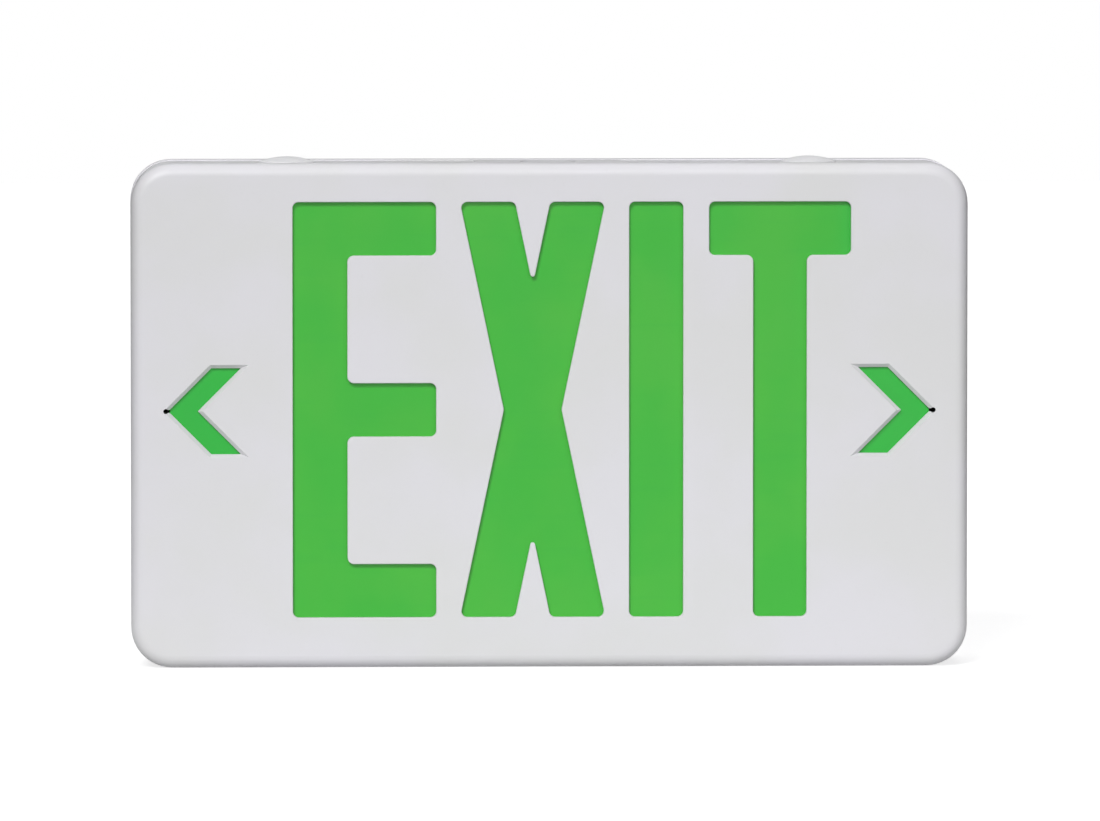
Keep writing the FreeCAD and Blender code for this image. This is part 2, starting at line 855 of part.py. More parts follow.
def add_lamp_rails(body):
    """Hooked rails that hold the lamp boards under the top wall and over the lower wall."""
    near, far = "lamp_board_middle - lamp_board_width/2", "lamp_board_middle + lamp_board_width/2"
    under = f"{LAMP_BOARD_TOP} - lamp_board_thickness"
    hook_foot = f"{under} - rail_hook"
    root = f"{FRAME_CEILING} + rail_weld"
    outer_near, outer_far = f"{near} - rail_slack - rail_leg", f"{far} + rail_slack + rail_leg"
    profile = [
        (outer_far, root), (outer_far, hook_foot), (f"{far} - rail_hook", hook_foot),
        (f"{far} - rail_hook", under), (f"{far} + rail_slack", under),
        (f"{far} + rail_slack", LAMP_BOARD_TOP), (f"{near} - rail_slack", LAMP_BOARD_TOP),
        (f"{near} - rail_slack", under), (f"{near} + rail_hook", under),
        (f"{near} + rail_hook", hook_foot), (outer_near, hook_foot), (outer_near, root),
    ]
    for level, name in (("", "upper"), ("-", "lower")):
        sketch = draw(body, f"{name}_rail_outline", "-rail_spacing - rail_width/2", "YZ_Plane")
        polygon(sketch, [(f"-({lift})", f"{level}({up})") for lift, up in profile])
        rail = pad(body, sketch, "rail_width", f"{name}_rail")
        row(body, [rail], sketch, "2*rail_spacing", 3, f"{name}_rails")


def cut_top_wall(body):
    """Two plug holes, and the raised canopy pad with its knock-out groove."""
    raised = draw(body, "canopy_pad_outline", FRAME_TOP, "XY_Plane")
    rectangle(
        raised, "-canopy_pad_width/2", "-plug_lift - canopy_pad_depth/2",
        "canopy_pad_width/2", "-plug_lift + canopy_pad_depth/2",
    )
    pad(body, raised, "canopy_pad_height", "canopy_pad")
    groove = draw(body, "canopy_groove_outline", f"{FRAME_TOP} + canopy_pad_height", "XY_Plane")
    circle(groove, "0", "-plug_lift", "canopy_disc_radius")
    circle(groove, "0", "-plug_lift", "canopy_disc_radius + canopy_groove")
    pocket(body, groove, "canopy_pad_height + canopy_groove_depth", "canopy_groove")
    holes = draw(body, "plug_hole_outline", FRAME_TOP, "XY_Plane")
    for side in ("-", ""):
        circle(holes, f"{side}plug_across", "-plug_lift", "plug_hole_radius")
    pocket(body, holes, "frame_wall + weld", "plug_holes")


def add_switch_seat(body):
    """Posts for the switch board, and the holes of the test button and the pilot lamp."""
    floor = f"-{FRAME_CEILING}"
    posts = draw(body, "switch_post_outline", f"{floor} - weld", "XY_Plane")
    left = "switch_board_left + switch_post_inset"
    right = "switch_board_left + switch_board_width - switch_post_inset"
    for across in (left, right):
        circle(posts, across, "-switch_lift", "switch_post_radius")
    pad(body, posts, f"switch_board_underside - ({floor} - weld)", "switch_posts")
    pilots = draw(body, "switch_pilot_outline", "switch_board_underside", "XY_Plane")
    for across in (left, right):
        circle(pilots, across, "-switch_lift", "small_screw_radius + pilot_slack")
    pocket(body, pilots, "small_screw_length - board_thickness", "switch_pilots")
    holes = draw(body, "button_hole_outline", floor, "XY_Plane")
    circle(holes, "button_across", "-switch_lift", "button_radius + button_clearance")
    circle(holes, "pilot_across", "-switch_lift", "lamp_radius + pilot_clearance")
    pocket(body, holes, "frame_wall + weld", "button_holes")


def housing_frame():
    """The ring between the face plate and the back plate."""
    body = new_body("housing_frame")
    ring(
        body, "frame_inset", "frame_inset + frame_wall",
        "back_depth", f"{REAR_OF_FACE} - back_depth", "band",
    )
    add_lips(body)
    add_corner_bosses(body)
    add_lamp_rails(body)
    cut_top_wall(body)
    add_switch_seat(body)
    return node(body, "housing_frame")


BOARD_RIGHT = "(board_left + board_width)"
BOARD_HIGH = "(board_low + board_height)"
BOARD_FRONT = "(board_stand + board_thickness)"
BOARD_HOLES = [
    ("board_left + board_margin", "board_low + board_margin"),
    ("board_left + board_margin", f"{BOARD_HIGH} - board_margin"),
    (f"{BOARD_RIGHT} - board_margin", "board_low + board_margin"),
    (f"{BOARD_RIGHT} - board_margin", f"{BOARD_HIGH} - board_margin"),
]
PACK_MIDDLE = "(pack_left + pack_length/2)"
BRACKET_POSTS = [
    (PACK_MIDDLE, "pack_up - bracket_post_reach"),
    (PACK_MIDDLE, "pack_up + bracket_post_reach"),
]


def add_back_posts(body):
    """Screw pads, board stand-offs and battery bracket posts on the back wall."""
    pads = draw(body, "screw_pad_outline", "back_wall")
    for across, up in four_corners("boss_across", "boss_up"):
        circle(pads, across, up, "pad_radius")
    pad(body, pads, "back_depth - back_wall", "screw_pads")
    stands = draw(body, "stand_outline", "back_wall")
    for across, up in BOARD_HOLES:
        circle(stands, across, up, "board_post_radius")
    pad(body, stands, "board_stand - back_wall", "board_stands")
    posts = draw(body, "bracket_post_outline", "back_wall")
    for across, up in BRACKET_POSTS:
        circle(posts, across, up, "bracket_post_radius")
    pad(body, posts, "bracket_post_lift - back_wall", "bracket_posts")
    for name, spots, lift in (
        ("board_pilots", BOARD_HOLES, "board_stand"),
        ("bracket_pilots", BRACKET_POSTS, "bracket_post_lift"),
    ):
        pilots = draw(body, f"{name}_outline", lift)
        for across, up in spots:
            circle(pilots, across, up, "small_screw_radius + pilot_slack")
        pocket(body, pilots, "small_screw_length - bracket_sheet", name)


def add_cradle(body):
    """Two scalloped ribs that the battery cells lie in."""
    sketch = draw(body, "cradle_outline", "pack_left + cradle_inset", "YZ_Plane")
    reach = "(cell_pitch + cell_radius + cradle_margin)"
    rectangle(
        sketch, "-cradle_lift", f"pack_up - {reach}", "-back_wall + weld", f"pack_up + {reach}",
    )
    rib = pad(body, sketch, "cradle_thickness", "cradle_rib")
    cells = draw(
        body, "cradle_cells", "pack_left + cradle_inset + cradle_thickness", "YZ_Plane",
    )
    for cell in (-1, 0, 1):
        circle(cells, "-pack_lift", f"pack_up + ({cell})*cell_pitch", "cell_radius + cradle_slack")
    scallops = pocket(body, cells, "cradle_thickness", "cradle_scallops")
    web = draw(body, "cradle_web", "pack_left + cradle_inset + cradle_thickness", "YZ_Plane")
    rectangle(
        web, "-cradle_lift - weld", "pack_up - cell_pitch",
        "-pack_lift + pack_web/2 + cradle_slack", "pack_up + cell_pitch",
    )
    gap = pocket(body, web, "cradle_thickness", "cradle_web_gap")
    row(body, [rib, scallops, gap], sketch, "cradle_spacing", 2, "cradle")


def cut_back_wall(body):
    """Wire entry, box screw holes, keyholes and the wells of the case screws."""
    holes = draw(body, "wall_holes_outline", "back_wall")
    circle(holes, "0", "0", "wire_hole_radius")
    for side in ("-", ""):
        circle(holes, f"{side}box_screw_spacing/2", "0", "box_hole_radius")
        circle(holes, "0", f"{side}gang_screw_spacing/2", "box_hole_radius")
        circle(holes, f"{side}keyhole_across", "keyhole_up", "keyhole_head_radius")
    pocket(body, holes, "back_wall", "wall_holes")
    slots = draw(body, "keyhole_slot_outline", "back_wall")
    for side in ("-", ""):
        across = f"{side}keyhole_across"
        rectangle(
            slots, f"{across} - keyhole_slot_radius", "keyhole_up",
            f"{across} + keyhole_slot_radius", "keyhole_up + keyhole_travel",
        )
    pocket(body, slots, "back_wall", "keyhole_slots")
    ends = draw(body, "keyhole_end_outline", "back_wall")
    for side in ("-", ""):
        circle(ends, f"{side}keyhole_across", "keyhole_up + keyhole_travel", "keyhole_slot_radius")
    pocket(body, ends, "back_wall", "keyhole_ends")
    wells = draw(body, "screw_well_outline", "0")
    shanks = draw(body, "screw_hole_outline", "0")
    for across, up in four_corners("boss_across", "boss_up"):
        circle(wells, across, up, "screw_well_radius")
        circle(shanks, across, up, "screw_hole_radius")
    pocket(body, wells, "screw_well_depth", "screw_wells", along=True)
    pocket(body, shanks, "back_depth", "screw_holes", along=True)


def back_plate():
    """The tray against the wall, which carries the driver board and the battery."""
    body = new_body("back_plate")
    outline = draw(body, "outline")
    case_outline(outline, "0")
    pad(body, outline, "back_depth", "tray")
    hollow = draw(body, "hollow_outline", "back_depth")
    case_outline(hollow, "back_rim")
    pocket(body, hollow, "back_depth - back_wall", "hollow")
    add_back_posts(body)
    add_cradle(body)
    cut_back_wall(body)
    return node(body, "back_plate")


def top_plug(label, side):
    """A domed translucent plug that closes a hole of the top wall."""
    body = new_body(label)
    sketch = draw(body, "half_profile")
    cap, stem, bore = "plug_cap_radius", "plug_stem_radius", "plug_stem_radius - plug_wall"
    foot, barb = "-frame_wall - plug_catch", "-frame_wall - plug_catch/2"
    corners = [
        ("0", "-plug_crown"), (bore, "-plug_crown"), (bore, foot), (stem, foot),
        ("plug_catch_radius", barb), (stem, "-frame_wall"), (stem, "0"),
        (cap, "0"), (cap, "plug_cap_edge"), ("0", "plug_dome"),
    ]
    polygon(sketch, corners)
    replace_with_dome(sketch, len(corners) - 2)
    revolve(body, sketch, "cap")
    place(body, f"{side}plug_across", "plug_lift", FRAME_TOP)
    return node(body, label)


def replace_with_dome(sketch, index):
    """Turns the straight run from the cap's edge to the axis into an arc, level at the axis."""
    edge = Vector(value("plug_cap_radius"), value("plug_cap_edge"), 0)
    crown = Vector(0, value("plug_dome"), 0)
    rise = crown.y - edge.y
    radius = (edge.x ** 2 + rise ** 2) / (2 * rise)
    centre = Vector(0, crown.y - radius, 0)
    start = math.atan2(edge.y - centre.y, edge.x)
    arc = Part.ArcOfCircle(Part.Circle(centre, Vector(0, 0, 1), radius), start, math.pi / 2)
    sketch.toggleConstruction(index)
    new = sketch.addGeometry(arc)
    sketch.addConstraint(Sketcher.Constraint("Coincident", new, 1, index, 1))
    sketch.addConstraint(Sketcher.Constraint("Coincident", new, 2, index, 2))
    sketch.addConstraint(Sketcher.Constraint("PointOnObject", new, 3, -2))


# ---------------------------------------------------------------- fasteners


def screw_model(label, radius, length, head_radius, head_height):
    """One pan-head screw: head above its seat at the origin, shank below, cross recess."""
    body = new_body(label)
    sketch = draw(body, "half_profile")
    polygon(sketch, [
        ("0", f"-({length})"), (f"{radius}*screw_point", f"-({length})"),
        (radius, f"-({length}) + {radius}"), (radius, "0"), (head_radius, "0"),
        (head_radius, f"{head_height}*head_side"), (f"{head_radius}*head_flat", head_height),
        ("0", head_height),
    ])
    revolve(body, sketch, "turned")
    cross = draw(body, "recess", head_height, "XY_Plane")
    long, wide = f"{head_radius}*cross_reach", f"{head_radius}*cross_half_width"
    polygon(cross, [
        (f"-{wide}", f"-{long}"), (wide, f"-{long}"), (wide, f"-{wide}"), (long, f"-{wide}"),
        (long, wide), (wide, wide), (wide, long), (f"-{wide}", long),
        (f"-{wide}", wide), (f"-{long}", wide), (f"-{long}", f"-{wide}"), (f"-{wide}", f"-{wide}"),
    ])
    pocket(body, cross, f"{head_height}*cross_depth", "cross")
    return body


def group(label, model, spots, turn=UPRIGHT):
    """Copies of one model as the separate solids of one node. A spot is across, lift, up."""
    links = []
    for number, (across, lift, up) in enumerate(spots, start=1):
        link = DOC.addObject("App::Link", f"{label}_{number}")
        link.LinkedObject = model
        place(link, across, lift, up, turn)
        links.append(link)
    compound = DOC.addObject("Part::Compound", label)
    compound.Links = links
    return node(compound, label)


def fasteners():
    """Every screw of the light, in one group for each place."""
    large = screw_model(
        "case_screw_model", "screw_radius", "case_screw_length",
        "2*screw_radius", "1.4*screw_radius",
    )
    corners = [
        (across, "screw_well_depth", up) for across, up in four_corners("boss_across", "boss_up")
    ]
    group("case_screws", large, corners, TO_WALL)
    small = screw_model(
        "small_screw_model", "small_screw_radius", "small_screw_length",
        "small_head_radius", "small_head_height",
    )
    group("board_screws", small, [(a, BOARD_FRONT, u) for a, u in BOARD_HOLES], TO_VIEWER)
    strap = "bracket_post_lift + bracket_sheet"
    group("bracket_screws", small, [(a, strap, u) for a, u in BRACKET_POSTS], TO_VIEWER)
    top = "switch_board_underside + board_thickness"
    left = "switch_board_left + switch_post_inset"
    right = "switch_board_left + switch_board_width - switch_post_inset"
    group("switch_board_screws", small, [(a, "switch_lift", top) for a in (left, right)])


# ---------------------------------------------------------------- boards and lamps


def driver_board():
    body = new_body("driver_board")
    sketch = draw(body, "outline", "board_stand")
    rectangle(sketch, "board_left", "board_low", BOARD_RIGHT, BOARD_HIGH)
    for across, up in BOARD_HOLES:
        circle(sketch, across, up, "board_hole_radius")
    pad(body, sketch, "board_thickness", "sheet")
    return node(body, "driver_board")


def lamp_board(label, level):
    """A long narrow circuit board in the rails; level is "" for the top one, "-" for the lower."""
    body = new_body(label)
    low = f"{LAMP_BOARD_TOP} - lamp_board_thickness" if level == "" else f"-{LAMP_BOARD_TOP}"
    sketch = draw(body, "outline", low, "XY_Plane")
    rectangle(
        sketch, "-lamp_board_half_length", "-lamp_board_middle - lamp_board_width/2",
        "lamp_board_half_length", "-lamp_board_middle + lamp_board_width/2",
    )
    pad(body, sketch, "lamp_board_thickness", "sheet")
    return node(body, label)


def lamp_profile(body, seat, facing):
    """A domed lamp's half profile above a seat plane; facing is 1 to look up, -1 down."""
    sketch = draw(body, "half_profile")
    sign = "+" if facing > 0 else "-"
    round_start = "lamp_height - lamp_radius"
    heights = [
        ("0", "0"), ("lamp_flange_radius", "0"), ("lamp_flange_radius", "lamp_flange"),
        ("lamp_radius", "lamp_flange"), ("lamp_radius", round_start),
        ("lamp_radius*0.92", f"{round_start} + lamp_radius*0.39"),
        ("lamp_radius*0.71", f"{round_start} + lamp_radius*0.71"),
        ("lamp_radius*0.39", f"{round_start} + lamp_radius*0.92"),
        ("0", "lamp_height"),
    ]
    polygon(sketch, [(radius, f"({seat}) {sign} ({height})") for radius, height in heights])
    return sketch


def lamp_row(label, level):
    """Ten domed lamps on a lamp board, looking into the case."""
    body = new_body(label)
    seat = f"{LAMP_BOARD_TOP} - lamp_board_thickness"
    facing = -1
    if level == "-":
        seat = f"-({LAMP_BOARD_TOP} - lamp_board_thickness)"
        facing = 1
    sketch = lamp_profile(body, seat, facing)
    lamp = revolve(body, sketch, "lamp")
    row(body, [lamp], sketch, "9*lamp_spacing", 10, "lamps", "H_Axis")
    place(body, "-4.5*lamp_spacing", "lamp_board_middle", "0")
    return node(body, label)


# ---------------------------------------------------------------- parts on the driver board


def block(name, width, thickness, height, left, lift, low):
    """A box width across, thickness towards the viewer and height up, from its rear lower left."""
    solid = DOC.addObject("Part::Box", name)
    bind(solid, {"Length": width, "Width": thickness, "Height": height})
    place(solid, left, f"({lift}) + ({thickness})", low)
    return solid


def rod(name, radius, length, across, lift, up, turn=TO_VIEWER):
    """A cylinder from a spot along the turned Z axis."""
    solid = DOC.addObject("Part::Cylinder", name)
    bind(solid, {"Radius": radius, "Height": length})
    place(solid, across, lift, up, turn)
    return solid


def fused(label, pieces):
    solid = DOC.addObject("Part::MultiFuse", label)
    solid.Shapes = pieces
    return solid


def cut(label, base, tools):
    """A base with the fused tools taken away."""
    solid = DOC.addObject("Part::Cut", label)
    solid.Base = base
    solid.Tool = tools[0] if len(tools) == 1 else fused(f"{label}_tools", tools)
    return solid


def softened(label, base, radius, chosen):
    """A Part fillet on the edges of a base that pass the test."""
    DOC.recompute()
    solid = DOC.addObject("Part::Fillet", label)
    solid.Base = base
    solid.Edges = [
        (number, value(radius), value(radius))
        for number, edge in enumerate(base.Shape.Edges, start=1)
        if chosen(edge)
    ]
    return solid


CORE_LEFT = "(board_left + core_left)"
CORE_LOW = "(board_low + core_low)"
CORE_REAR = f"({BOARD_FRONT} + (bobbin_height - core_stack)/2)"
WINDOW_TALL = "(core_height - 2*core_leg)"
COIL_WIDE = "(core_width - 2*core_leg - 2*core_slack)"
COIL_TALL = f"({WINDOW_TALL} - 2*core_slack)"


def transformer_core():
    """A laminated core with two windows round its middle leg."""
    body = new_body("transformer_core")
    sketch = draw(body, "outline", CORE_REAR)
    rectangle(
        sketch, CORE_LEFT, CORE_LOW, f"{CORE_LEFT} + core_width", f"{CORE_LOW} + core_height",
    )
    for left in ("core_leg", "core_width - core_leg - core_window"):
        rectangle(
            sketch, f"{CORE_LEFT} + {left}", f"{CORE_LOW} + core_leg",
            f"{CORE_LEFT} + {left} + core_window", f"{CORE_LOW} + core_leg + {WINDOW_TALL}",
        )
    pad(body, sketch, "core_stack", "stack")
    return node(body, "transformer_core")


def sleeve(label, side_inset, end_inset, hole_slack):
    """A rectangular tube round the core's middle leg."""
    body = new_body(label)
    low = f"{CORE_LOW} + core_leg + core_slack + ({end_inset})"
    sketch = draw(body, "outline", low, "XY_Plane")
    middle = f"{CORE_LEFT} + core_width/2"
    half = f"{COIL_WIDE}/2 - ({side_inset})"
    rear = f"{BOARD_FRONT} + ({side_inset})"
    front = f"{BOARD_FRONT} + bobbin_height - ({side_inset})"
    leg = f"(core_width/2 - core_leg - core_window) + ({hole_slack})"
    rectangle(sketch, f"{middle} - ({half})", f"-({front})", f"{middle} + {half}", f"-({rear})")
    rectangle(
        sketch, f"{middle} - ({leg})", f"-({CORE_REAR} + core_stack + ({hole_slack}))",
        f"{middle} + {leg}", f"-({CORE_REAR} - ({hole_slack}))",
    )
    pad(body, sketch, f"{COIL_TALL} - 2*({end_inset})", "tube")
    return body


def transformer_bobbin():
    """The bobbin: a thin sleeve round the leg between two flanges."""
    tube = sleeve("bobbin_tube", "core_window - core_slack - bobbin_wall", "0", "core_slack")
    flanges = []
    for name, low in (
        ("bobbin_low_flange", f"{CORE_LOW} + core_leg + core_slack"),
        ("bobbin_high_flange", f"{CORE_LOW} + core_leg + core_slack + {COIL_TALL} - bobbin_flange"),
    ):
        plate = block(
            f"{name}_plate", COIL_WIDE, "bobbin_height", "bobbin_flange",
            f"{CORE_LEFT} + core_leg + core_slack", BOARD_FRONT, low,
        )
        leg = block(
            f"{name}_hole", "core_width - 2*core_leg - 2*core_window + 2*core_slack",
            "core_stack + 2*core_slack", "bobbin_flange",
            f"{CORE_LEFT} + core_leg + core_window - core_slack",
            f"{CORE_REAR} - core_slack", low,
        )
        flanges.append(cut(name, plate, [leg]))
    return node(fused("transformer_bobbin", [tube] + flanges), "transformer_bobbin")


def transformer_winding():
    body = sleeve("transformer_winding", "winding_gap", "bobbin_flange", "core_slack + bobbin_wall")
    return node(body, "transformer_winding")


def film_capacitor():
    left, low = "board_left + film_left", "board_low + film_low"
    solid = block(
        "film_capacitor_box", "film_width", "film_height", "film_thickness", left, BOARD_FRONT, low,
    )
    rear = -value(BOARD_FRONT)
    rounded = softened(
        "film_capacitor", solid, "film_round", lambda edge: not lies_at(edge, "Y", rear),
    )
    return node(rounded, "film_capacitor")


def smoothing_capacitors():
    """Two round cans that stand on the board, with rolled rims and a waist."""
    cans = []
    for name, radius, height, across in (
        ("large_can", "can_radius", "can_height", "can_across"),
        ("small_can", "small_can_radius", "small_can_height", "can_across + can_spacing"),
    ):
        body = new_body(name)
        sketch = draw(body, "half_profile")
        polygon(sketch, [
            ("0", "0"), (f"{radius} - can_foot_edge", "0"), (radius, "can_foot_edge"),
            (radius, "can_bead_lift"), (f"{radius} - can_bead_depth", "can_bead_lift + can_bead_half"),
            (radius, "can_bead_lift + 2*can_bead_half"), (radius, f"{height} - can_top_edge"),
            (f"{radius} - can_top_edge", height), ("0", height),
        ])
        revolve(body, sketch, "turned")
        place(body, f"board_left + {across}", BOARD_FRONT, "board_low + can_up", TO_VIEWER)
        cans.append(body)
    compound = DOC.addObject("Part::Compound", "smoothing_capacitors")
    compound.Links = cans
    return node(compound, "smoothing_capacitors")


def tube(route, radius):
    """A round tube along straight runs joined by tangent arcs as large as the runs allow."""
    spots = [Vector(*spot) for spot in route]
    edges, start = [], spots[0]
    for before, corner, after in zip(spots, spots[1:], spots[2:]):
        arriving, leaving = corner - before, after - corner
        reach = BEND_SHARE * min(arriving.Length, leaving.Length)
        half_turn = arriving.getAngle(leaving) / 2
        bend = reach / math.tan(half_turn)
        first = corner - arriving.normalize() * reach
        last = corner + leaving.normalize() * reach
        towards = (last - corner + first - corner).normalize()
        middle = corner + towards * (bend / math.cos(half_turn) - bend)
        edges.append(Part.LineSegment(start, first).toShape())
        edges.append(Part.Arc(first, middle, last).toShape())
        start = last
    edges.append(Part.LineSegment(start, spots[-1]).toShape())
    path = Part.Wire(edges)
    section = Part.Wire([Part.Circle(spots[0], spots[1] - spots[0], radius).toShape()])
    solid = path.makePipeShell([section], True, False)
    wanted = math.pi * radius ** 2 * path.Length
    if abs(solid.Volume / wanted - 1) > TUBE_TOLERANCE:
        raise RuntimeError(f"a tube of {wanted:.1f} mm3 came out as {solid.Volume:.1f}")
    return solid


def shape_node(label, shapes):
    """A sub-part whose solids are built directly from the sheet's values."""
    holder = DOC.addObject("Part::Feature", label)
    holder.Shape = shapes[0] if len(shapes) == 1 else Part.makeCompound(shapes)
    return node(holder, label)


def axial_part(left, up, body_length, body_radius):
    """A barrel on a bent wire that stands on the board, its axis across."""
    lead, span = value("axial_lead_radius"), value("axial_span")
    board = -value(BOARD_FRONT)
    lift = board - body_radius - value("axial_gap")
    wire = tube([
        (left, board, up), (left, lift, up), (left + span, lift, up), (left + span, board, up),
    ], lead)
    start = Vector(left + (span - body_length) / 2, lift, up)
    barrel = Part.makeCylinder(body_radius, body_length, start, Vector(1, 0, 0))
    return wire.fuse(barrel)


def axial_row(label, left, low, body_length, body_radius, count):
    """Like parts side by side up the board."""
    across = value(f"board_left + {left}")
    first = value(f"board_low + {low}")
    pitch = value("axial_pitch")
    return shape_node(label, [
        axial_part(across, first + number * pitch, value(body_length), value(body_radius))
        for number in range(count)
    ])


def control_chip():
    """An eight-leg chip: a body with a pin-one notch, and legs down to the board."""
    left, low = "(board_left + chip_left)", "(board_low + chip_low)"
    body = new_body("control_chip")
    sketch = draw(body, "outline", f"{BOARD_FRONT} + chip_stand")
    rectangle(sketch, left, low, f"{left} + chip_width", f"{low} + chip_height")
    pad(body, sketch, "chip_thickness", "body")
    notch = draw(body, "notch_outline", f"{BOARD_FRONT} + chip_stand + chip_thickness")
    circle(notch, left, f"{low} + chip_height/2", "chip_leg")
    pocket(body, notch, "chip_leg", "notch")
    legs = draw(body, "leg_outline", BOARD_FRONT)
    start = f"{left} + (chip_width - 3*chip_pitch - chip_leg)/2"
    for foot in (f"{low} - chip_leg", f"{low} + chip_height"):
        rectangle(legs, start, foot, f"{start} + chip_leg", f"{foot} + chip_leg")
    leg = pad(body, legs, "chip_stand + chip_thickness/2", "legs")
    row(body, [leg], legs, "3*chip_pitch", 4, "all_legs", "H_Axis")
    return node(body, "control_chip")


def power_transistor():
    """A power transistor standing on three legs, with its drilled metal tab."""
    left, low = "(board_left + transistor_left)", "(board_low + transistor_low)"
    lift = f"({BOARD_FRONT} + transistor_stand)"
    moulding = block(
        "transistor_moulding", "transistor_width", "transistor_body", "transistor_thickness",
        left, lift, low,
    )
    tab = block(
        "transistor_tab_plate", "transistor_width", "transistor_height", "transistor_tab",
        left, lift, f"{low} + transistor_thickness - transistor_tab",
    )
    middle = f"{left} + transistor_width/2"
    hole = rod(
        "transistor_tab_hole", "tab_hole_radius", "2*transistor_thickness", middle,
        f"{lift} + transistor_height - tab_hole_drop", low, UPRIGHT,
    )
    legs = [
        block(
            f"transistor_leg_{number}", "transistor_leg", "transistor_stand",
            "transistor_leg_thickness",
            f"{middle} - transistor_leg/2 + ({number} - 2)*chip_pitch", BOARD_FRONT,
            f"{low} + transistor_thickness/2",
        )
        for number in (1, 2, 3)
    ]
    drilled = cut("transistor_drilled_tab", tab, [hole])
    return node(fused("power_transistor", [moulding, drilled] + legs), "power_transistor")


FUSE_LEFT = "(board_left + fuse_left)"
FUSE_UP = "(board_low + fuse_up)"
FUSE_LIFT = f"({BOARD_FRONT} + fuse_stand)"


def fuse_link():
    """A glass fuse with a metal cap at each end, lying across the board."""
    body = new_body("fuse_link")
    sketch = draw(body, "half_profile")
    polygon(sketch, [
        ("0", "0"), ("fuse_radius", "0"), ("fuse_radius", "fuse_cap"),
        ("fuse_glass_radius", "fuse_cap"), ("fuse_glass_radius", "fuse_length - fuse_cap"),
        ("fuse_radius", "fuse_length - fuse_cap"), ("fuse_radius", "fuse_length"),
        ("0", "fuse_length"),
    ])
    revolve(body, sketch, "turned")
    place(body, FUSE_LEFT, FUSE_LIFT, FUSE_UP, FreeCAD.Rotation(Vector(0, 1, 0), 90))
    return node(body, "fuse_link")


def fuse_clips():
    """Two sprung sheet clips that stand on the board and grip the fuse's caps."""
    body = new_body("fuse_clips")
    sketch = draw(
        body, "outline", f"{FUSE_LEFT} + (fuse_cap - clip_width)/2", "YZ_Plane",
    )
    inner, outer = "fuse_radius", "(fuse_radius + clip_sheet)"
    seat = f"{FUSE_LIFT} - fuse_radius"
    tip = f"{FUSE_LIFT} + fuse_radius*clip_grip"
    polygon(sketch, [
        (f"-({BOARD_FRONT})", f"{FUSE_UP} - {outer}"), (f"-({tip})", f"{FUSE_UP} - {outer}"),
        (f"-({tip})", f"{FUSE_UP} - {inner}"), (f"-({seat})", f"{FUSE_UP} - {inner}"),
        (f"-({seat})", f"{FUSE_UP} + {inner}"), (f"-({tip})", f"{FUSE_UP} + {inner}"),
        (f"-({tip})", f"{FUSE_UP} + {outer}"), (f"-({BOARD_FRONT})", f"{FUSE_UP} + {outer}"),
    ])
    clip = pad(body, sketch, "clip_width", "clip")
    row(body, [clip], sketch, "fuse_length - fuse_cap", 2, "clips")
    return node(body, "fuse_clips")


def surge_disc():
    """A coated disc on two wire legs, its flat sides up and down."""
    body = new_body("surge_disc_coat")
    sketch = draw(body, "half_profile")
    polygon(sketch, [
        ("0", "0"), ("disc_radius - disc_round", "0"), ("disc_radius", "disc_round"),
        ("disc_radius", "disc_thickness - disc_round"), ("disc_radius - disc_round", "disc_thickness"),
        ("0", "disc_thickness"),
    ])
    revolve(body, sketch, "turned")
    lift = f"({BOARD_FRONT} + disc_stand)"
    place(body, "board_left + disc_across", lift, "board_low + disc_up")
    legs = [
        rod(
            f"disc_leg_{number}", "axial_lead_radius", "disc_stand - disc_radius*disc_leg_sink",
            f"board_left + disc_across + ({number} - 1.5)*disc_pitch", BOARD_FRONT,
            "board_low + disc_up + disc_thickness/2",
        )
        for number in (1, 2)
    ]
    return node(fused("surge_disc", [body] + legs), "surge_disc")


TERMINAL_LEFT = f"({BOARD_RIGHT} - board_margin/2 - terminal_width)"
TERMINAL_LOW = "(board_low + terminal_middle - terminal_length/2)"


def terminal_row_spot(number):
    """Height of a terminal's axis, counted from the middle one."""
    return f"{TERMINAL_LOW} + terminal_length/2 + ({number})*terminal_pitch"


def supply_terminal():
    """Three-way screw terminal: wire mouths to the right, screw wells to the viewer."""
    base = block(
        "terminal_block", "terminal_width", "terminal_height", "terminal_length",
        TERMINAL_LEFT, BOARD_FRONT, TERMINAL_LOW,
    )
    to_left = FreeCAD.Rotation(Vector(0, 1, 0), -90)
    tools = []
    for number in (-1, 0, 1):
        up = terminal_row_spot(number)
        tools.append(rod(
            f"terminal_mouth_{number + 2}", "terminal_mouth_radius", "terminal_mouth_depth",
            f"{TERMINAL_LEFT} + terminal_width", f"{BOARD_FRONT} + terminal_mouth_lift",
            up, to_left,
        ))
        tools.append(rod(
            f"terminal_well_{number + 2}", "terminal_well_radius", "terminal_well_depth",
            f"{TERMINAL_LEFT} + terminal_width/2", f"{BOARD_FRONT} + terminal_height",
            up, TO_WALL,
        ))
    return node(cut("supply_terminal", base, tools), "supply_terminal")


def terminal_screws():
    """Slotted clamp screws at the bottom of the terminal's wells."""
    body = new_body("terminal_screw_model")
    side = "terminal_well_radius - terminal_screw_gap"
    sketch = draw(body, "half_profile")
    polygon(sketch, [
        ("0", "0"), (side, "0"), (side, "terminal_screw_height - terminal_screw_edge"),
        (f"{side} - terminal_screw_edge", "terminal_screw_height"), ("0", "terminal_screw_height"),
    ])
    revolve(body, sketch, "turned")
    slot = draw(body, "slot_outline", "terminal_screw_height", "XY_Plane")
    rectangle(
        slot, "-terminal_well_radius", "-terminal_slot_half_width",
        "terminal_well_radius", "terminal_slot_half_width",
    )
    pocket(body, slot, "terminal_slot_depth", "slot")
    seat = f"{BOARD_FRONT} + terminal_height - terminal_well_depth"
    spots = [
        (f"{TERMINAL_LEFT} + terminal_width/2", seat, terminal_row_spot(number))
        for number in (-1, 0, 1)
    ]
    return group("terminal_screws", body, spots, TO_VIEWER)


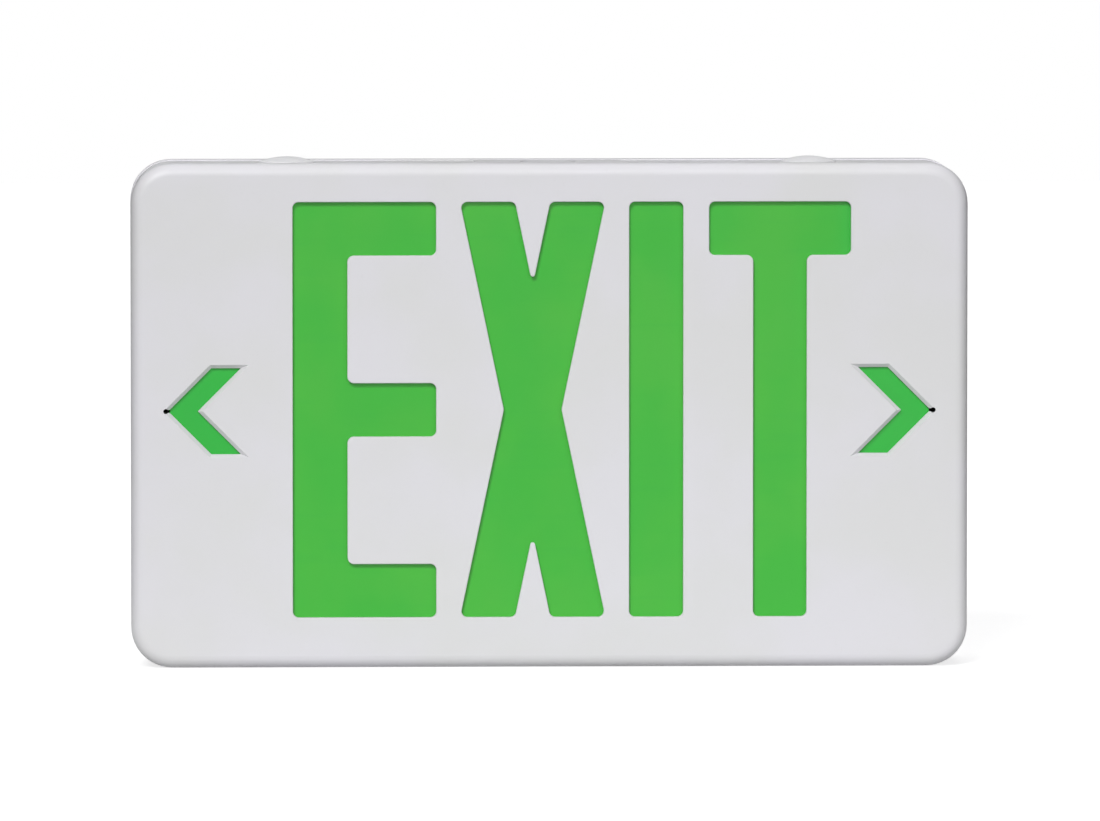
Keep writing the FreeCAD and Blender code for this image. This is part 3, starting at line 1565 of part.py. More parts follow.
# ---------------------------------------------------------------- sockets and leads

SIDE_SOCKET_LEFT = f"({BOARD_RIGHT} - socket_width)"
UPPER_SOCKET = ("(board_left + upper_socket_across)", f"({BOARD_HIGH} - socket_width)")
LOWER_SOCKET = ("(board_left + lower_socket_across)", "board_low")
SWITCH_SOCKET = (SIDE_SOCKET_LEFT, "(board_low + switch_socket_up)")
PIN_LIFT = f"({BOARD_FRONT} + socket_height/2)"


def lead_sockets():
    """Pin headers for the lamp and switch leads, at the edges of the driver board."""
    pieces = [
        block(
            "upper_socket", "socket_length", "socket_height", "socket_width",
            f"{UPPER_SOCKET[0]} - socket_length/2", BOARD_FRONT, UPPER_SOCKET[1],
        ),
        block(
            "lower_socket", "socket_length", "socket_height", "socket_width",
            f"{LOWER_SOCKET[0]} - socket_length/2", BOARD_FRONT, LOWER_SOCKET[1],
        ),
        block(
            "switch_socket", "socket_width", "socket_height", "socket_length",
            SWITCH_SOCKET[0], BOARD_FRONT, f"{SWITCH_SOCKET[1]} - socket_length/2",
        ),
    ]
    compound = DOC.addObject("Part::Compound", "lead_sockets")
    compound.Links = pieces
    return node(compound, "lead_sockets")


BATTERY_SOCKET_UP = "(board_low + battery_socket_up)"


def battery_socket():
    solid = block(
        "battery_socket", "socket_width", "socket_height", "socket_length",
        SIDE_SOCKET_LEFT, BOARD_FRONT, f"{BATTERY_SOCKET_UP} - socket_length/2",
    )
    return node(solid, "battery_socket")


def battery_plug():
    """The plug on the battery leads, with its latch finger, against the socket's mouth."""
    housing = block(
        "battery_plug_housing", "battery_plug_length",
        "socket_height - 2*battery_plug_slack", "socket_length - 2*battery_plug_slack",
        f"{SIDE_SOCKET_LEFT} + socket_width", f"{BOARD_FRONT} + battery_plug_slack",
        f"{BATTERY_SOCKET_UP} - socket_length/2 + battery_plug_slack",
    )
    latch = block(
        "battery_plug_latch", "latch_length", "latch_thickness", "2*latch_half_width",
        f"{SIDE_SOCKET_LEFT} + socket_width", f"{BOARD_FRONT} + socket_height - battery_plug_slack",
        f"{BATTERY_SOCKET_UP} - latch_half_width",
    )
    return node(fused("battery_plug", [housing, latch]), "battery_plug")


def leads():
    """Insulated wires, each from a socket's face to the piece it feeds."""
    radius = value("lead_radius")
    gap = value("socket_pin_pitch")
    pins = -value(PIN_LIFT)
    rest = -value("back_wall") - radius - 0.1
    board_face = value(f"{LAMP_BOARD_TOP} - lamp_board_thickness")
    lamps = -value("lamp_board_middle")
    upper_x, upper_z = value(UPPER_SOCKET[0]), value(BOARD_HIGH)
    lower_x, lower_z = value(LOWER_SOCKET[0]), value("board_low")
    end_x = -value("lamp_board_half_length") + 4
    shape_node("upper_lamp_leads", [
        tube([
            (upper_x + side, pins, upper_z), (upper_x + side, pins, upper_z + 7),
            (upper_x + side, rest, upper_z + 18), (upper_x + side, rest, upper_z + 62),
            (end_x + side, rest - 3, upper_z + 82), (end_x + side, lamps, upper_z + 92),
            (end_x + side, lamps, board_face),
        ], radius)
        for side in (-gap / 2, gap / 2)
    ])
    shape_node("lower_lamp_leads", [
        tube([
            (lower_x + side, pins, lower_z), (lower_x + side, pins, lower_z - 4),
            (end_x + side, lamps, lower_z - 7), (end_x + side, lamps, -board_face),
        ], radius)
        for side in (-gap / 2, gap / 2)
    ])
    side_x = value(BOARD_RIGHT)
    plug_x = side_x + value("battery_plug_length")
    plug_up = value(BATTERY_SOCKET_UP)
    pack_x, pack_lift, pack_up = value("pack_left"), -value("pack_lift"), value("pack_up")
    for label, level in (("battery_lead_red", 1), ("battery_lead_black", -1)):
        start_up = plug_up + level * gap / 2
        end_up = pack_up + level * value("cell_pitch")
        shape_node(label, [tube([
            (plug_x, pins, start_up), (plug_x + 10, pins, start_up),
            (plug_x + 20, pins + 1, (start_up + end_up) / 2 + level),
            (pack_x - 9, pack_lift, end_up), (pack_x, pack_lift, end_up),
        ], radius)])
    switch_up = value(SWITCH_SOCKET[1])
    low_run = -value(FRAME_CEILING) + 2.6
    board_edge = value("switch_board_left")
    switch_top = value("switch_board_underside + board_thickness/2")
    switch_lift = -value("switch_lift")
    shape_node("switch_leads", [
        tube([
            (side_x, pins, switch_up + side), (side_x + 8, pins, switch_up + side),
            (side_x + 16, pins / 2 + side, switch_up - 8), (side_x + 26, rest, low_run + 4 + side),
            (side_x + 44, rest, low_run + side), (board_edge - 26, rest, low_run + side + 0.4),
            (board_edge - 9, switch_lift + side, switch_top),
            (board_edge, switch_lift + side, switch_top),
        ], radius * 0.8)
        for side in (-gap / 2.5, gap / 2.5)
    ])


# ---------------------------------------------------------------- battery


def battery_pack():
    """Three cells side by side in one shrink sleeve."""
    along = FreeCAD.Rotation(Vector(0, 1, 0), 90)
    cells = [
        rod(
            f"cell_{number + 2}", "cell_radius", "pack_length", "pack_left", "pack_lift",
            f"pack_up + ({number})*cell_pitch", along,
        )
        for number in (-1, 0, 1)
    ]
    web = block(
        "pack_web", "pack_length", "pack_web", "2*cell_pitch", "pack_left",
        "pack_lift - pack_web/2", "pack_up - cell_pitch",
    )
    return node(fused("battery_pack", cells + [web]), "battery_pack")


def battery_bracket():
    """A hat-shaped strap over the pack, drilled for a screw in each foot."""
    body = new_body("battery_bracket")
    sketch = draw(body, "outline", f"{PACK_MIDDLE} - bracket_width/2", "YZ_Plane")
    foot, strap = "bracket_post_lift", "pack_lift + cell_radius"
    half = [
        ("bracket_foot", foot), ("bracket_foot", f"{foot} + bracket_sheet"),
        ("bracket_leg + bracket_sheet", f"{foot} + bracket_sheet"),
        ("bracket_leg + bracket_sheet", f"{strap} + bracket_sheet"),
    ]
    inner = [("bracket_leg", strap), ("bracket_leg", foot)]
    above = [(f"-({lift})", f"pack_up + {reach}") for reach, lift in half]
    below = [(f"-({lift})", f"pack_up - ({reach})") for reach, lift in half]
    inside_above = [(f"-({lift})", f"pack_up + {reach}") for reach, lift in inner]
    inside_below = [(f"-({lift})", f"pack_up - ({reach})") for reach, lift in inner]
    polygon(
        sketch,
        above + below[::-1] + inside_below[::-1] + inside_above,
    )
    pad(body, sketch, "bracket_width", "strap")
    holes = draw(body, "hole_outline", f"{foot} + bracket_sheet")
    for across, up in BRACKET_POSTS:
        circle(holes, across, up, "small_screw_radius + small_screw_clearance")
    pocket(body, holes, "bracket_sheet", "holes")
    return node(body, "battery_bracket")


# ---------------------------------------------------------------- test switch


def switch_board():
    body = new_body("switch_board")
    sketch = draw(body, "outline", "switch_board_underside", "XY_Plane")
    right = "switch_board_left + switch_board_width"
    rectangle(
        sketch, "switch_board_left", "-switch_lift - switch_board_depth/2",
        right, "-switch_lift + switch_board_depth/2",
    )
    for across in ("switch_board_left + switch_post_inset", f"{right} - switch_post_inset"):
        circle(sketch, across, "-switch_lift", "board_hole_radius")
    pad(body, sketch, "board_thickness", "sheet")
    return node(body, "switch_board")


def push_switch():
    """The switch under its board, bored for the button's stem."""
    body = new_body("push_switch")
    foot = "switch_board_underside - switch_height"
    sketch = draw(body, "outline", foot, "XY_Plane")
    rectangle(
        sketch, "button_across - switch_size/2", "-switch_lift - switch_size/2",
        "button_across + switch_size/2", "-switch_lift + switch_size/2",
    )
    pad(body, sketch, "switch_height", "body")
    bore = draw(body, "bore_outline", foot, "XY_Plane")
    circle(bore, "button_across", "-switch_lift", "switch_bore_radius")
    pocket(body, bore, "switch_bore_depth", "bore", along=True)
    return node(body, "push_switch")


def test_button():
    """The button in the lower wall, with the flange that keeps it in and its stem."""
    body = new_body("test_button")
    sketch = draw(body, "half_profile")
    face = "-plate_height/2 + button_recess"
    inside = f"-{FRAME_CEILING}"
    tip = "switch_board_underside - switch_height + stem_entry"
    polygon(sketch, [
        ("0", face), ("button_radius - button_edge", face), ("button_radius", f"{face} + button_edge"),
        ("button_radius", inside), ("button_flange_radius", inside),
        ("button_flange_radius", f"{inside} + button_flange"),
        ("button_stem_radius", f"{inside} + button_flange"), ("button_stem_radius", tip),
        ("0", tip),
    ])
    revolve(body, sketch, "turned")
    place(body, "button_across", "switch_lift", "0")
    return node(body, "test_button")


def button_spring():
    """The coil spring between the button's flange and the switch."""
    wire = value("spring_wire")
    low = value(f"-{FRAME_CEILING} + button_flange") + wire
    high = value("switch_board_underside - switch_height") - wire
    mean, turns = value("spring_radius"), value("spring_turns")
    stations = int(turns * COIL_STATIONS)
    middles = []
    for station in range(stations + 1):
        angle = math.tau * station / COIL_STATIONS
        climb = (high - low) * station / stations
        middles.append(Vector(mean * math.cos(angle), mean * math.sin(angle), climb))
    line = Part.BSplineCurve()
    line.interpolate(middles)
    section = Part.Wire([Part.Circle(middles[0], line.tangent(0)[0], wire).toShape()])
    coil = Part.Wire([line.toShape()]).makePipeShell([section], True, True)
    coil.translate(Vector(value("button_across"), -value("switch_lift"), low))
    return shape_node("button_spring", [coil])


def pilot_lamp():
    """The charge lamp, domed end out through the lower wall, on two wires from its board."""
    body = new_body("pilot_lamp_lens")
    tip = "-plate_height/2 + pilot_tip"
    sketch = lamp_profile(body, f"{tip} + lamp_height", -1)
    revolve(body, sketch, "lamp")
    place(body, "pilot_across", "switch_lift", "0")
    legs = [
        rod(
            f"pilot_leg_{number}", "axial_lead_radius",
            f"switch_board_underside - ({tip} + lamp_height) + 0.2",
            f"pilot_across + ({number} - 1.5)*socket_pin_pitch", "switch_lift",
            f"{tip} + lamp_height - 0.2", UPRIGHT,
        )
        for number in (1, 2)
    ]
    return node(fused("pilot_lamp", [body] + legs), "pilot_lamp")


# ---------------------------------------------------------------- assembly


def build():
    fill_sheet()
    face_plate()
    colour_lens()
    housing_frame()
    back_plate()
    top_plug("top_plug_left", "-")
    top_plug("top_plug_right", "")
    fasteners()
    driver_board()
    for label, level in (("upper", ""), ("lower", "-")):
        lamp_board(f"{label}_lamp_board", level)
        lamp_row(f"{label}_lamps", level)
    transformer_core()
    transformer_bobbin()
    transformer_winding()
    film_capacitor()
    smoothing_capacitors()
    axial_row("rectifier_diodes", "diode_left", "diode_low", "diode_length", "diode_radius", 4)
    axial_row("resistors", "resistor_left", "resistor_low", "resistor_length", "resistor_radius", 4)
    control_chip()
    power_transistor()
    fuse_link()
    fuse_clips()
    surge_disc()
    supply_terminal()
    terminal_screws()
    lead_sockets()
    battery_socket()
    battery_plug()
    leads()
    battery_pack()
    battery_bracket()
    switch_board()
    push_switch()
    test_button()
    button_spring()
    pilot_lamp()
    DOC.recompute()


def check():
    """Stops on any failed object and on any sub-part that has no valid shape."""
    for thing in DOC.Objects:
        if "Invalid" in thing.State or "Error" in thing.State:
            raise RuntimeError(f"{thing.Name} failed: {thing.State}")
    for thing in NODES:
        if thing.Shape.isNull() or not thing.Shape.isValid() or not thing.Shape.Solids:
            raise RuntimeError(f"{thing.Label} has no valid solid")


def export():
    os.makedirs("parts", exist_ok=True)
    for thing in NODES:
        thing.Shape.exportStep(f"parts/{thing.Label}.step")
        box = thing.Shape.BoundBox
        print(
            f"{thing.Label:24s} {len(thing.Shape.Solids):3d} solids {thing.Shape.Volume:10.1f} mm3"
            f"  x {box.XMin:7.1f} {box.XMax:7.1f}  y {box.YMin:6.1f} {box.YMax:6.1f}"
            f"  z {box.ZMin:6.1f} {box.ZMax:6.1f}"
        )


build()
check()
export()
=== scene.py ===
import math

import bmesh
import bpy
from mathutils import Matrix, Vector


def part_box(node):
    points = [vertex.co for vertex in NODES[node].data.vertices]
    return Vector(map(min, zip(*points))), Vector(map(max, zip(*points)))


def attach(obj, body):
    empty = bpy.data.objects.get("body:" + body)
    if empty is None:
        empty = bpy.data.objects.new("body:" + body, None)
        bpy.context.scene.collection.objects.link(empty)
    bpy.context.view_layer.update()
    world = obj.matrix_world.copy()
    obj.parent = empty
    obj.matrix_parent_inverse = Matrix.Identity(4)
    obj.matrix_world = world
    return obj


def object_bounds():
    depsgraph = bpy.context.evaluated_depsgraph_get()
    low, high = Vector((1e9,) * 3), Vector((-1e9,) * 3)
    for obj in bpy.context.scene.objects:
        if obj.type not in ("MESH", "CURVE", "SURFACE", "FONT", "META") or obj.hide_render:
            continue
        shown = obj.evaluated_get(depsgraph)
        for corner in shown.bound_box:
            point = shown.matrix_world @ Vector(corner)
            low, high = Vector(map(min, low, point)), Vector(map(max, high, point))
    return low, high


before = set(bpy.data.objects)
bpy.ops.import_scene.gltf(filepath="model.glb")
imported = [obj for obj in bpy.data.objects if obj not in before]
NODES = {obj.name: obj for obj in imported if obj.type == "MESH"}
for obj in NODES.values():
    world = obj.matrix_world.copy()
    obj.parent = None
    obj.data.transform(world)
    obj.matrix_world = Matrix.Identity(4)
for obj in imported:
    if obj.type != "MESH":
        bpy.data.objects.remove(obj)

# An emergency exit light: white moulded case, green lens behind a stencilled face, and the lamps,
# driver board, battery and test switch that show once the face plate is pulled off.
# X is the viewer's right, Y runs from the face to the wall and Z is up, in metres.

MM = 0.001
CAD_LOW, CAD_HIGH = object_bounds()


def millimetres(node):
    """A CAD node's low and high corners, in millimetres."""
    return [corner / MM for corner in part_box(node)]


# The driver board and the components on it, in millimetres.
BOARD_FACE = millimetres("driver_board")[0].y
ROW_PITCH, ROWS = 5.0, 4
LEG_PITCH = 2.54
LEAD_RADIUS = 0.35
DIODE_RADIUS, DIODE_LENGTH = 1.35, 5.2
RESISTOR_RADIUS, RESISTOR_LENGTH = 1.2, 6.4
LARGE_CAN, SMALL_CAN = 5.0, 4.0
CAN_STEP = 4.0
TRANSISTOR_LEG_UP = -60.4
FUSE_CAP = 5.0

# The lamp boards and their wires, in millimetres.
LAMP_PITCH, LAMPS = 25.0, 10
LAMP_ROW = -29.0
WIRE_RADIUS, WIRE_PITCH = 0.75, 2.5


# ---------------------------------------------------------------- finishes


def seen(red, green, blue):
    """A colour as the eye names it, 0 to 255 a channel, in the shader's own scale."""
    scaled = [value / 255 for value in (red, green, blue)]
    return tuple(v / 12.92 if v <= 0.04045 else ((v + 0.055) / 1.055) ** 2.4 for v in scaled) + (1.0,)


class Finish:
    """One procedural material: a ground colour, layers over it, and relief."""

    def __init__(self, name, colour, roughness, metal=0.0, **constants):
        self.material = bpy.data.materials.new(name)
        self.material.use_nodes = True
        self.tree = self.material.node_tree
        self.tree.nodes.clear()
        self.output = self.tree.nodes.new("ShaderNodeOutputMaterial")
        self.shader = self.tree.nodes.new("ShaderNodeBsdfPrincipled")
        self.tree.links.new(self.shader.outputs[0], self.output.inputs[0])
        self.layers = {"Base Color": seen(*colour), "Roughness": roughness, "Metallic": metal}
        for socket, value in constants.items():
            self.shader.inputs[socket.replace("_", " ")].default_value = value
        self.surface = self.tree.nodes.new("ShaderNodeTexCoord").outputs["Object"]

    def step(self, kind, output=0, inputs=(), **settings):
        """A shader node: its settings, then its inputs by name or number, as values or links."""
        node = self.tree.nodes.new(kind)
        for name, value in settings.items():
            setattr(node, name, value)
        for socket, value in dict(inputs).items():
            if isinstance(value, bpy.types.NodeSocket):
                self.tree.links.new(value, node.inputs[socket])
            elif value is not None:
                node.inputs[socket].default_value = value
        return node.outputs[output]

    def place(self, centre=(0, 0, 0), turn=(0, 0, 0), stretch=(1, 1, 1)):
        """Object coordinates measured from centre, turned and stretched."""
        return self.step(
            "ShaderNodeMapping", vector_type="TEXTURE",
            inputs={0: self.surface, "Location": centre, "Rotation": turn, "Scale": stretch},
        )

    def along(self, axis, place=None):
        """The X, Y or Z part of a place, in metres."""
        return self.step("ShaderNodeSeparateXYZ", "XYZ".index(axis), {0: place or self.surface})

    def noise(self, grain, detail=2.0, rough=0.5, place=None):
        """Cloudy variation whose blotches are about grain metres wide."""
        return self.step(
            "ShaderNodeTexNoise", "Fac",
            {"Vector": place or self.surface, "Scale": 1 / grain, "Detail": detail, "Roughness": rough},
        )

    def combine(self, operation, first, second=None):
        """One step of arithmetic."""
        return self.step("ShaderNodeMath", 0, {0: first, 1: second}, operation=operation)

    def waves(self, axis, pitch):
        """Rises and falls between plus and minus one along an axis."""
        return self.combine("SINE", self.combine("MULTIPLY", self.along(axis), 2 * math.pi / pitch))

    def between(self, value, low, high, bottom=0.0, top=1.0):
        """Eases from bottom at low to top at high."""
        return self.step(
            "ShaderNodeMapRange", 0,
            {"Value": value, "From Min": low, "From Max": high, "To Min": bottom, "To Max": top},
            interpolation_type="SMOOTHSTEP",
        )

    def within(self, value, low, high, soft=0.05 * MM):
        """One from low to high and nothing outside."""
        up = self.between(value, low - soft, low + soft)
        down = self.between(value, high - soft, high + soft, 1.0, 0.0)
        return self.combine("MULTIPLY", up, down)

    def outside(self, value, low, high, soft=0.05 * MM):
        """Nothing from low to high and one beyond."""
        return self.combine("SUBTRACT", 1.0, self.within(value, low, high, soft))

    def rim(self, node, axes):
        """One on a board's cut edges, which lie on its box along the two axes named."""
        skin = 0.04 * MM
        low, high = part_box(node)
        inner = []
        for axis in axes:
            number = "XYZ".index(axis)
            inner.append(self.within(self.along(axis), low[number] + skin, high[number] - skin, skin / 2))
        return self.combine("SUBTRACT", 1.0, self.combine("MULTIPLY", *inner))

    def radius(self, place, first, second):
        """Distance from a place's origin, counting only the two axes named."""
        squares = [self.combine("POWER", self.along(axis, place), 2.0) for axis in (first, second)]
        return self.combine("SQRT", self.combine("ADD", *squares))

    def mix(self, share, first, second):
        """first where share is nothing, second where it is one."""
        return self.step("ShaderNodeMix", 2, {0: share, 6: first, 7: second}, data_type="RGBA")

    def layer(self, share, colour=None, roughness=None, metal=None):
        """Lays another colour, roughness or metalness over the ground where share is one."""
        if colour is not None:
            self.layers["Base Color"] = self.mix(share, self.layers["Base Color"], colour)
        for socket, value in (("Roughness", roughness), ("Metallic", metal)):
            if value is not None:
                self.layers[socket] = self.step(
                    "ShaderNodeMix", 0, {0: share, 2: self.layers[socket], 3: value}, data_type="FLOAT",
                )

    def mottle(self, grain, colour, roughness):
        """Clouds of a second colour, and of roughness between two values."""
        cloud = self.between(self.noise(grain, 3.0), 0.35, 0.65)
        self.layer(cloud, seen(*colour))
        self.layers["Roughness"] = self.between(self.noise(grain / 3, 2.0), 0.3, 0.7, *roughness)

    def bump(self, height, depth, under=None):
        """Raises the surface by up to depth metres where height is one."""
        return self.step(
            "ShaderNodeBump", 0, {"Height": height, "Distance": depth, "Strength": 1.0, "Normal": under},
        )

    def done(self, relief=None):
        """Feeds the layers to the shader and returns the material."""
        for socket, value in self.layers.items():
            if isinstance(value, bpy.types.NodeSocket):
                self.tree.links.new(value, self.shader.inputs[socket])
            else:
                self.shader.inputs[socket].default_value = value
        if relief is not None:
            self.tree.links.new(relief, self.shader.inputs["Normal"])
        return self.material


TIN = seen(206, 207, 206)
BOARD_MASK, BOARD_TRACK, BOARD_LAMINATE = (24, 88, 48), (42, 116, 60), (176, 170, 112)
EJECTOR_PITCH = {"X": 62 * MM, "Z": 38 * MM}
EJECTOR_RADIUS = 3.0 * MM
# Where the painted shade on the lens's arrow ends starts and where it is full, measured from the middle.
ENDS_SHADE_START, ENDS_SHADE_FULL = 102 * MM, 116 * MM


def white_plastic():
    """Satin white thermoplastic with a fine spark-eroded grain and faint ejector pin rings."""
    finish = Finish("white_plastic", (221, 220, 225), 0.44)
    finish.mottle(55 * MM, (218, 218, 219), roughness=(0.39, 0.50))
    fleck = finish.between(finish.noise(1.1 * MM, 1.0), 0.62, 0.80, 0.0, 0.25)
    finish.layer(fleck, seen(212, 211, 214))
    grain = finish.noise(0.35 * MM, 2.0, 0.6)
    flow = finish.noise(30 * MM, 1.0, place=finish.place(stretch=(1, 1, 3)))
    relief = finish.bump(grain, 0.006 * MM, finish.bump(flow, 0.05 * MM))
    squares = [
        finish.combine("POWER", finish.combine("PINGPONG", finish.along(axis), pitch / 2), 2.0)
        for axis, pitch in EJECTOR_PITCH.items()
    ]
    reach = finish.combine("SQRT", finish.combine("ADD", *squares))
    inside = finish.within(finish.along("Y"), -3.5 * MM, -1.5 * MM)
    edge = finish.within(reach, EJECTOR_RADIUS - 0.1 * MM, EJECTOR_RADIUS + 0.1 * MM, 0.1 * MM)
    ring = finish.combine("MULTIPLY", inside, edge)
    return finish.done(finish.bump(ring, 0.08 * MM, relief))


def green_lens():
    """Green sheet with a satin front, and a deeper, cooler green painted towards the arrows at its ends
    as the shade of their narrow openings.
    """
    finish = Finish(
        "green_lens", (47, 176, 41), 0.36, IOR=1.49, Coat_Weight=0.1, Coat_Roughness=0.35,
    )
    finish.mottle(45 * MM, (60, 178, 44), roughness=(0.32, 0.42))
    # Painted shade: from 102 to 116 mm out from the middle the green turns deeper and cooler, standing in
    # for the walls' shade in the narrow arrow openings.
    aside = finish.combine("ABSOLUTE", finish.along("X"))
    ends = finish.between(aside, ENDS_SHADE_START, ENDS_SHADE_FULL, 0.0, 0.8)
    finish.layer(ends, seen(10, 174, 52))
    streak = finish.noise(4 * MM, 2.0, place=finish.place(stretch=(9, 1, 1)))
    finish.layer(finish.between(streak, 0.55, 0.75, 0.0, 0.12), seen(36, 168, 48))
    return finish.done(finish.bump(finish.noise(0.22 * MM, 1.0), 0.004 * MM))


def clear_plug():
    """Milky natural plastic."""
    finish = Finish(
        "clear_plug", (238, 238, 241), 0.40, Transmission_Weight=0.05, IOR=1.49,
        Subsurface_Weight=0.10, Subsurface_Radius=(1.5 * MM, 1.5 * MM, 1.4 * MM), Subsurface_Scale=1.0,
    )
    finish.mottle(4 * MM, (242, 242, 244), roughness=(0.34, 0.44))
    return finish.done(finish.bump(finish.noise(3 * MM, 1.0), 0.006 * MM))


def metal(name, colour, second, roughness, grain, stretch=(1, 1, 1)):
    """Bright plated or drawn metal with streaks along its working direction."""
    finish = Finish(name, colour, sum(roughness) / 2, metal=1.0)
    finish.mottle(2.5 * MM, second, roughness=roughness)
    streaks = finish.noise(grain, 3.0, 0.6, finish.place(stretch=stretch))
    finish.layer(finish.between(streaks, 0.6, 0.8, 0.0, 0.4), seen(*[v - 40 for v in colour]))
    return finish.done(finish.bump(streaks, 0.008 * MM))


def circuit_board():
    """Green solder mask over faint copper tracks, with bare glass laminate at the cut edges."""
    finish = Finish("circuit_board", BOARD_MASK, 0.38, Coat_Weight=0.4, Coat_Roughness=0.2)
    runs = []
    for axis, stretch, reach in (("Z", (3, 1, 1), 0.52), ("X", (1, 1, 3), 0.56)):
        line = finish.combine("PINGPONG", finish.along(axis), 1.0 * MM)
        line = finish.between(line, 0.34 * MM, 0.40 * MM, 1.0, 0.0)
        zone = finish.noise(7 * MM, 0.0, place=finish.place(stretch=stretch))
        runs.append(finish.combine("MULTIPLY", line, finish.between(zone, reach, reach + 0.01)))
    shown = finish.combine("MAXIMUM", *runs)
    finish.layer(finish.combine("MULTIPLY", shown, 0.8), seen(44, 118, 60))
    pour = finish.between(finish.noise(16 * MM, 0.0), 0.52, 0.53)
    finish.layer(finish.combine("MULTIPLY", pour, 0.45), seen(*BOARD_TRACK))
    weave = finish.combine("MULTIPLY", finish.waves("X", 0.9 * MM), finish.waves("Z", 0.9 * MM))
    finish.layer(finish.between(weave, 0.2, 0.9, 0.0, 0.12), seen(70, 140, 80))
    finish.layer(finish.rim("driver_board", "XZ"), seen(*BOARD_LAMINATE), 0.6)
    return finish.done(finish.bump(finish.combine("ADD", shown, pour), 0.03 * MM))


def switch_laminate():
    """The small board of the test switch: the same mask, seen from above and below."""
    finish = Finish("switch_laminate", BOARD_MASK, 0.38, Coat_Weight=0.4, Coat_Roughness=0.2)
    pour = finish.between(finish.noise(9 * MM, 0.0), 0.50, 0.51)
    finish.layer(finish.combine("MULTIPLY", pour, 0.7), seen(*BOARD_TRACK))
    finish.layer(finish.rim("switch_board", "XY"), seen(*BOARD_LAMINATE), 0.6)
    return finish.done(finish.bump(pour, 0.03 * MM))


def white_board():
    """White mask on the lamp boards, a pair of wide tracks along them, laminate at the edges."""
    finish = Finish("white_board", (226, 227, 222), 0.36)
    across = finish.combine("ABSOLUTE", finish.combine("SUBTRACT", finish.along("Y"), LAMP_ROW * MM))
    track = finish.within(across, 1.8 * MM, 4.2 * MM)
    finish.layer(track, seen(214, 216, 206))
    joint = finish.combine("PINGPONG", finish.along("X"), LAMP_PITCH / 2 * MM)
    gap = finish.within(joint, 12.0 * MM, 13.0 * MM)
    finish.layer(finish.combine("MULTIPLY", gap, track), seen(228, 229, 225))
    finish.mottle(6 * MM, (222, 222, 214), roughness=(0.30, 0.42))
    finish.layer(finish.rim("upper_lamp_board", "XY"), seen(190, 184, 132), 0.6)
    return finish.done(finish.bump(track, 0.03 * MM))


def clear_epoxy():
    """Water-clear cast lamps with a slight green cast."""
    finish = Finish("clear_epoxy", (230, 246, 232), 0.10, Transmission_Weight=0.75, IOR=1.45)
    finish.mottle(2 * MM, (236, 248, 238), roughness=(0.04, 0.12))
    return finish.done(finish.bump(finish.noise(1.5 * MM, 1.0), 0.01 * MM))


def red_epoxy():
    """Tinted, lightly diffused red epoxy."""
    finish = Finish(
        "red_epoxy", (196, 22, 18), 0.22, Transmission_Weight=0.25, IOR=1.53,
        Subsurface_Weight=0.3, Subsurface_Radius=(2 * MM, 0.3 * MM, 0.2 * MM), Subsurface_Scale=1.0,
    )
    finish.mottle(3 * MM, (176, 16, 16), roughness=(0.16, 0.30))
    low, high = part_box("pilot_lamp")
    bare = finish.between(finish.along("Z"), low.z + 8.7 * MM, low.z + 8.9 * MM)
    beside = finish.between(finish.along("X"), low.x - 1 * MM, low.x)
    finish.layer(finish.combine("MULTIPLY", bare, beside), TIN, 0.3, 1.0)
    return finish.done(finish.bump(finish.noise(0.8 * MM, 1.0), 0.006 * MM))


def core_steel():
    """Stacked, varnished transformer sheets."""
    finish = Finish("core_steel", (104, 104, 108), 0.46, metal=0.8)
    sheet = finish.combine("PINGPONG", finish.along("Y"), 0.25 * MM)
    line = finish.between(sheet, 0.02 * MM, 0.09 * MM, 1.0, 0.0)
    low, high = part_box("transformer_core")
    sides = finish.within(finish.along("Y"), low.y + 0.04 * MM, high.y - 0.04 * MM, 0.02 * MM)
    line = finish.combine("MULTIPLY", line, sides)
    finish.mottle(5 * MM, (98, 97, 98), roughness=(0.42, 0.58))
    finish.layer(line, seen(46, 44, 44), 0.7)
    varnish = finish.between(finish.noise(1.2 * MM, 3.0), 0.66, 0.80, 0.0, 0.3)
    finish.layer(varnish, seen(96, 84, 74), 0.6, 0.5)
    return finish.done(finish.bump(line, -0.05 * MM))


def winding_tape():
    """Amber polyester tape in overlapping turns round the winding."""
    finish = Finish("winding_tape", (214, 164, 38), 0.24, Coat_Weight=0.5, Coat_Roughness=0.12)
    turn = finish.combine("PINGPONG", finish.along("Y"), 2.6 * MM)
    lap = finish.between(turn, 2.35 * MM, 2.6 * MM)
    finish.mottle(4 * MM, (196, 146, 30), roughness=(0.18, 0.34))
    finish.layer(finish.combine("MULTIPLY", lap, 0.6), seen(158, 110, 20))
    turns = finish.bump(finish.waves("Y", 0.32 * MM), 0.012 * MM)
    return finish.done(finish.bump(lap, 0.06 * MM, turns))


def moulded(name, colour, second, roughness=(0.34, 0.50), grain=0.3 * MM, **constants):
    """Plain moulded plastic with its mould's texture."""
    finish = Finish(name, colour, sum(roughness) / 2, **constants)
    finish.mottle(6 * MM, second, roughness=roughness)
    return finish.done(finish.bump(finish.noise(grain, 2.0), 0.01 * MM))


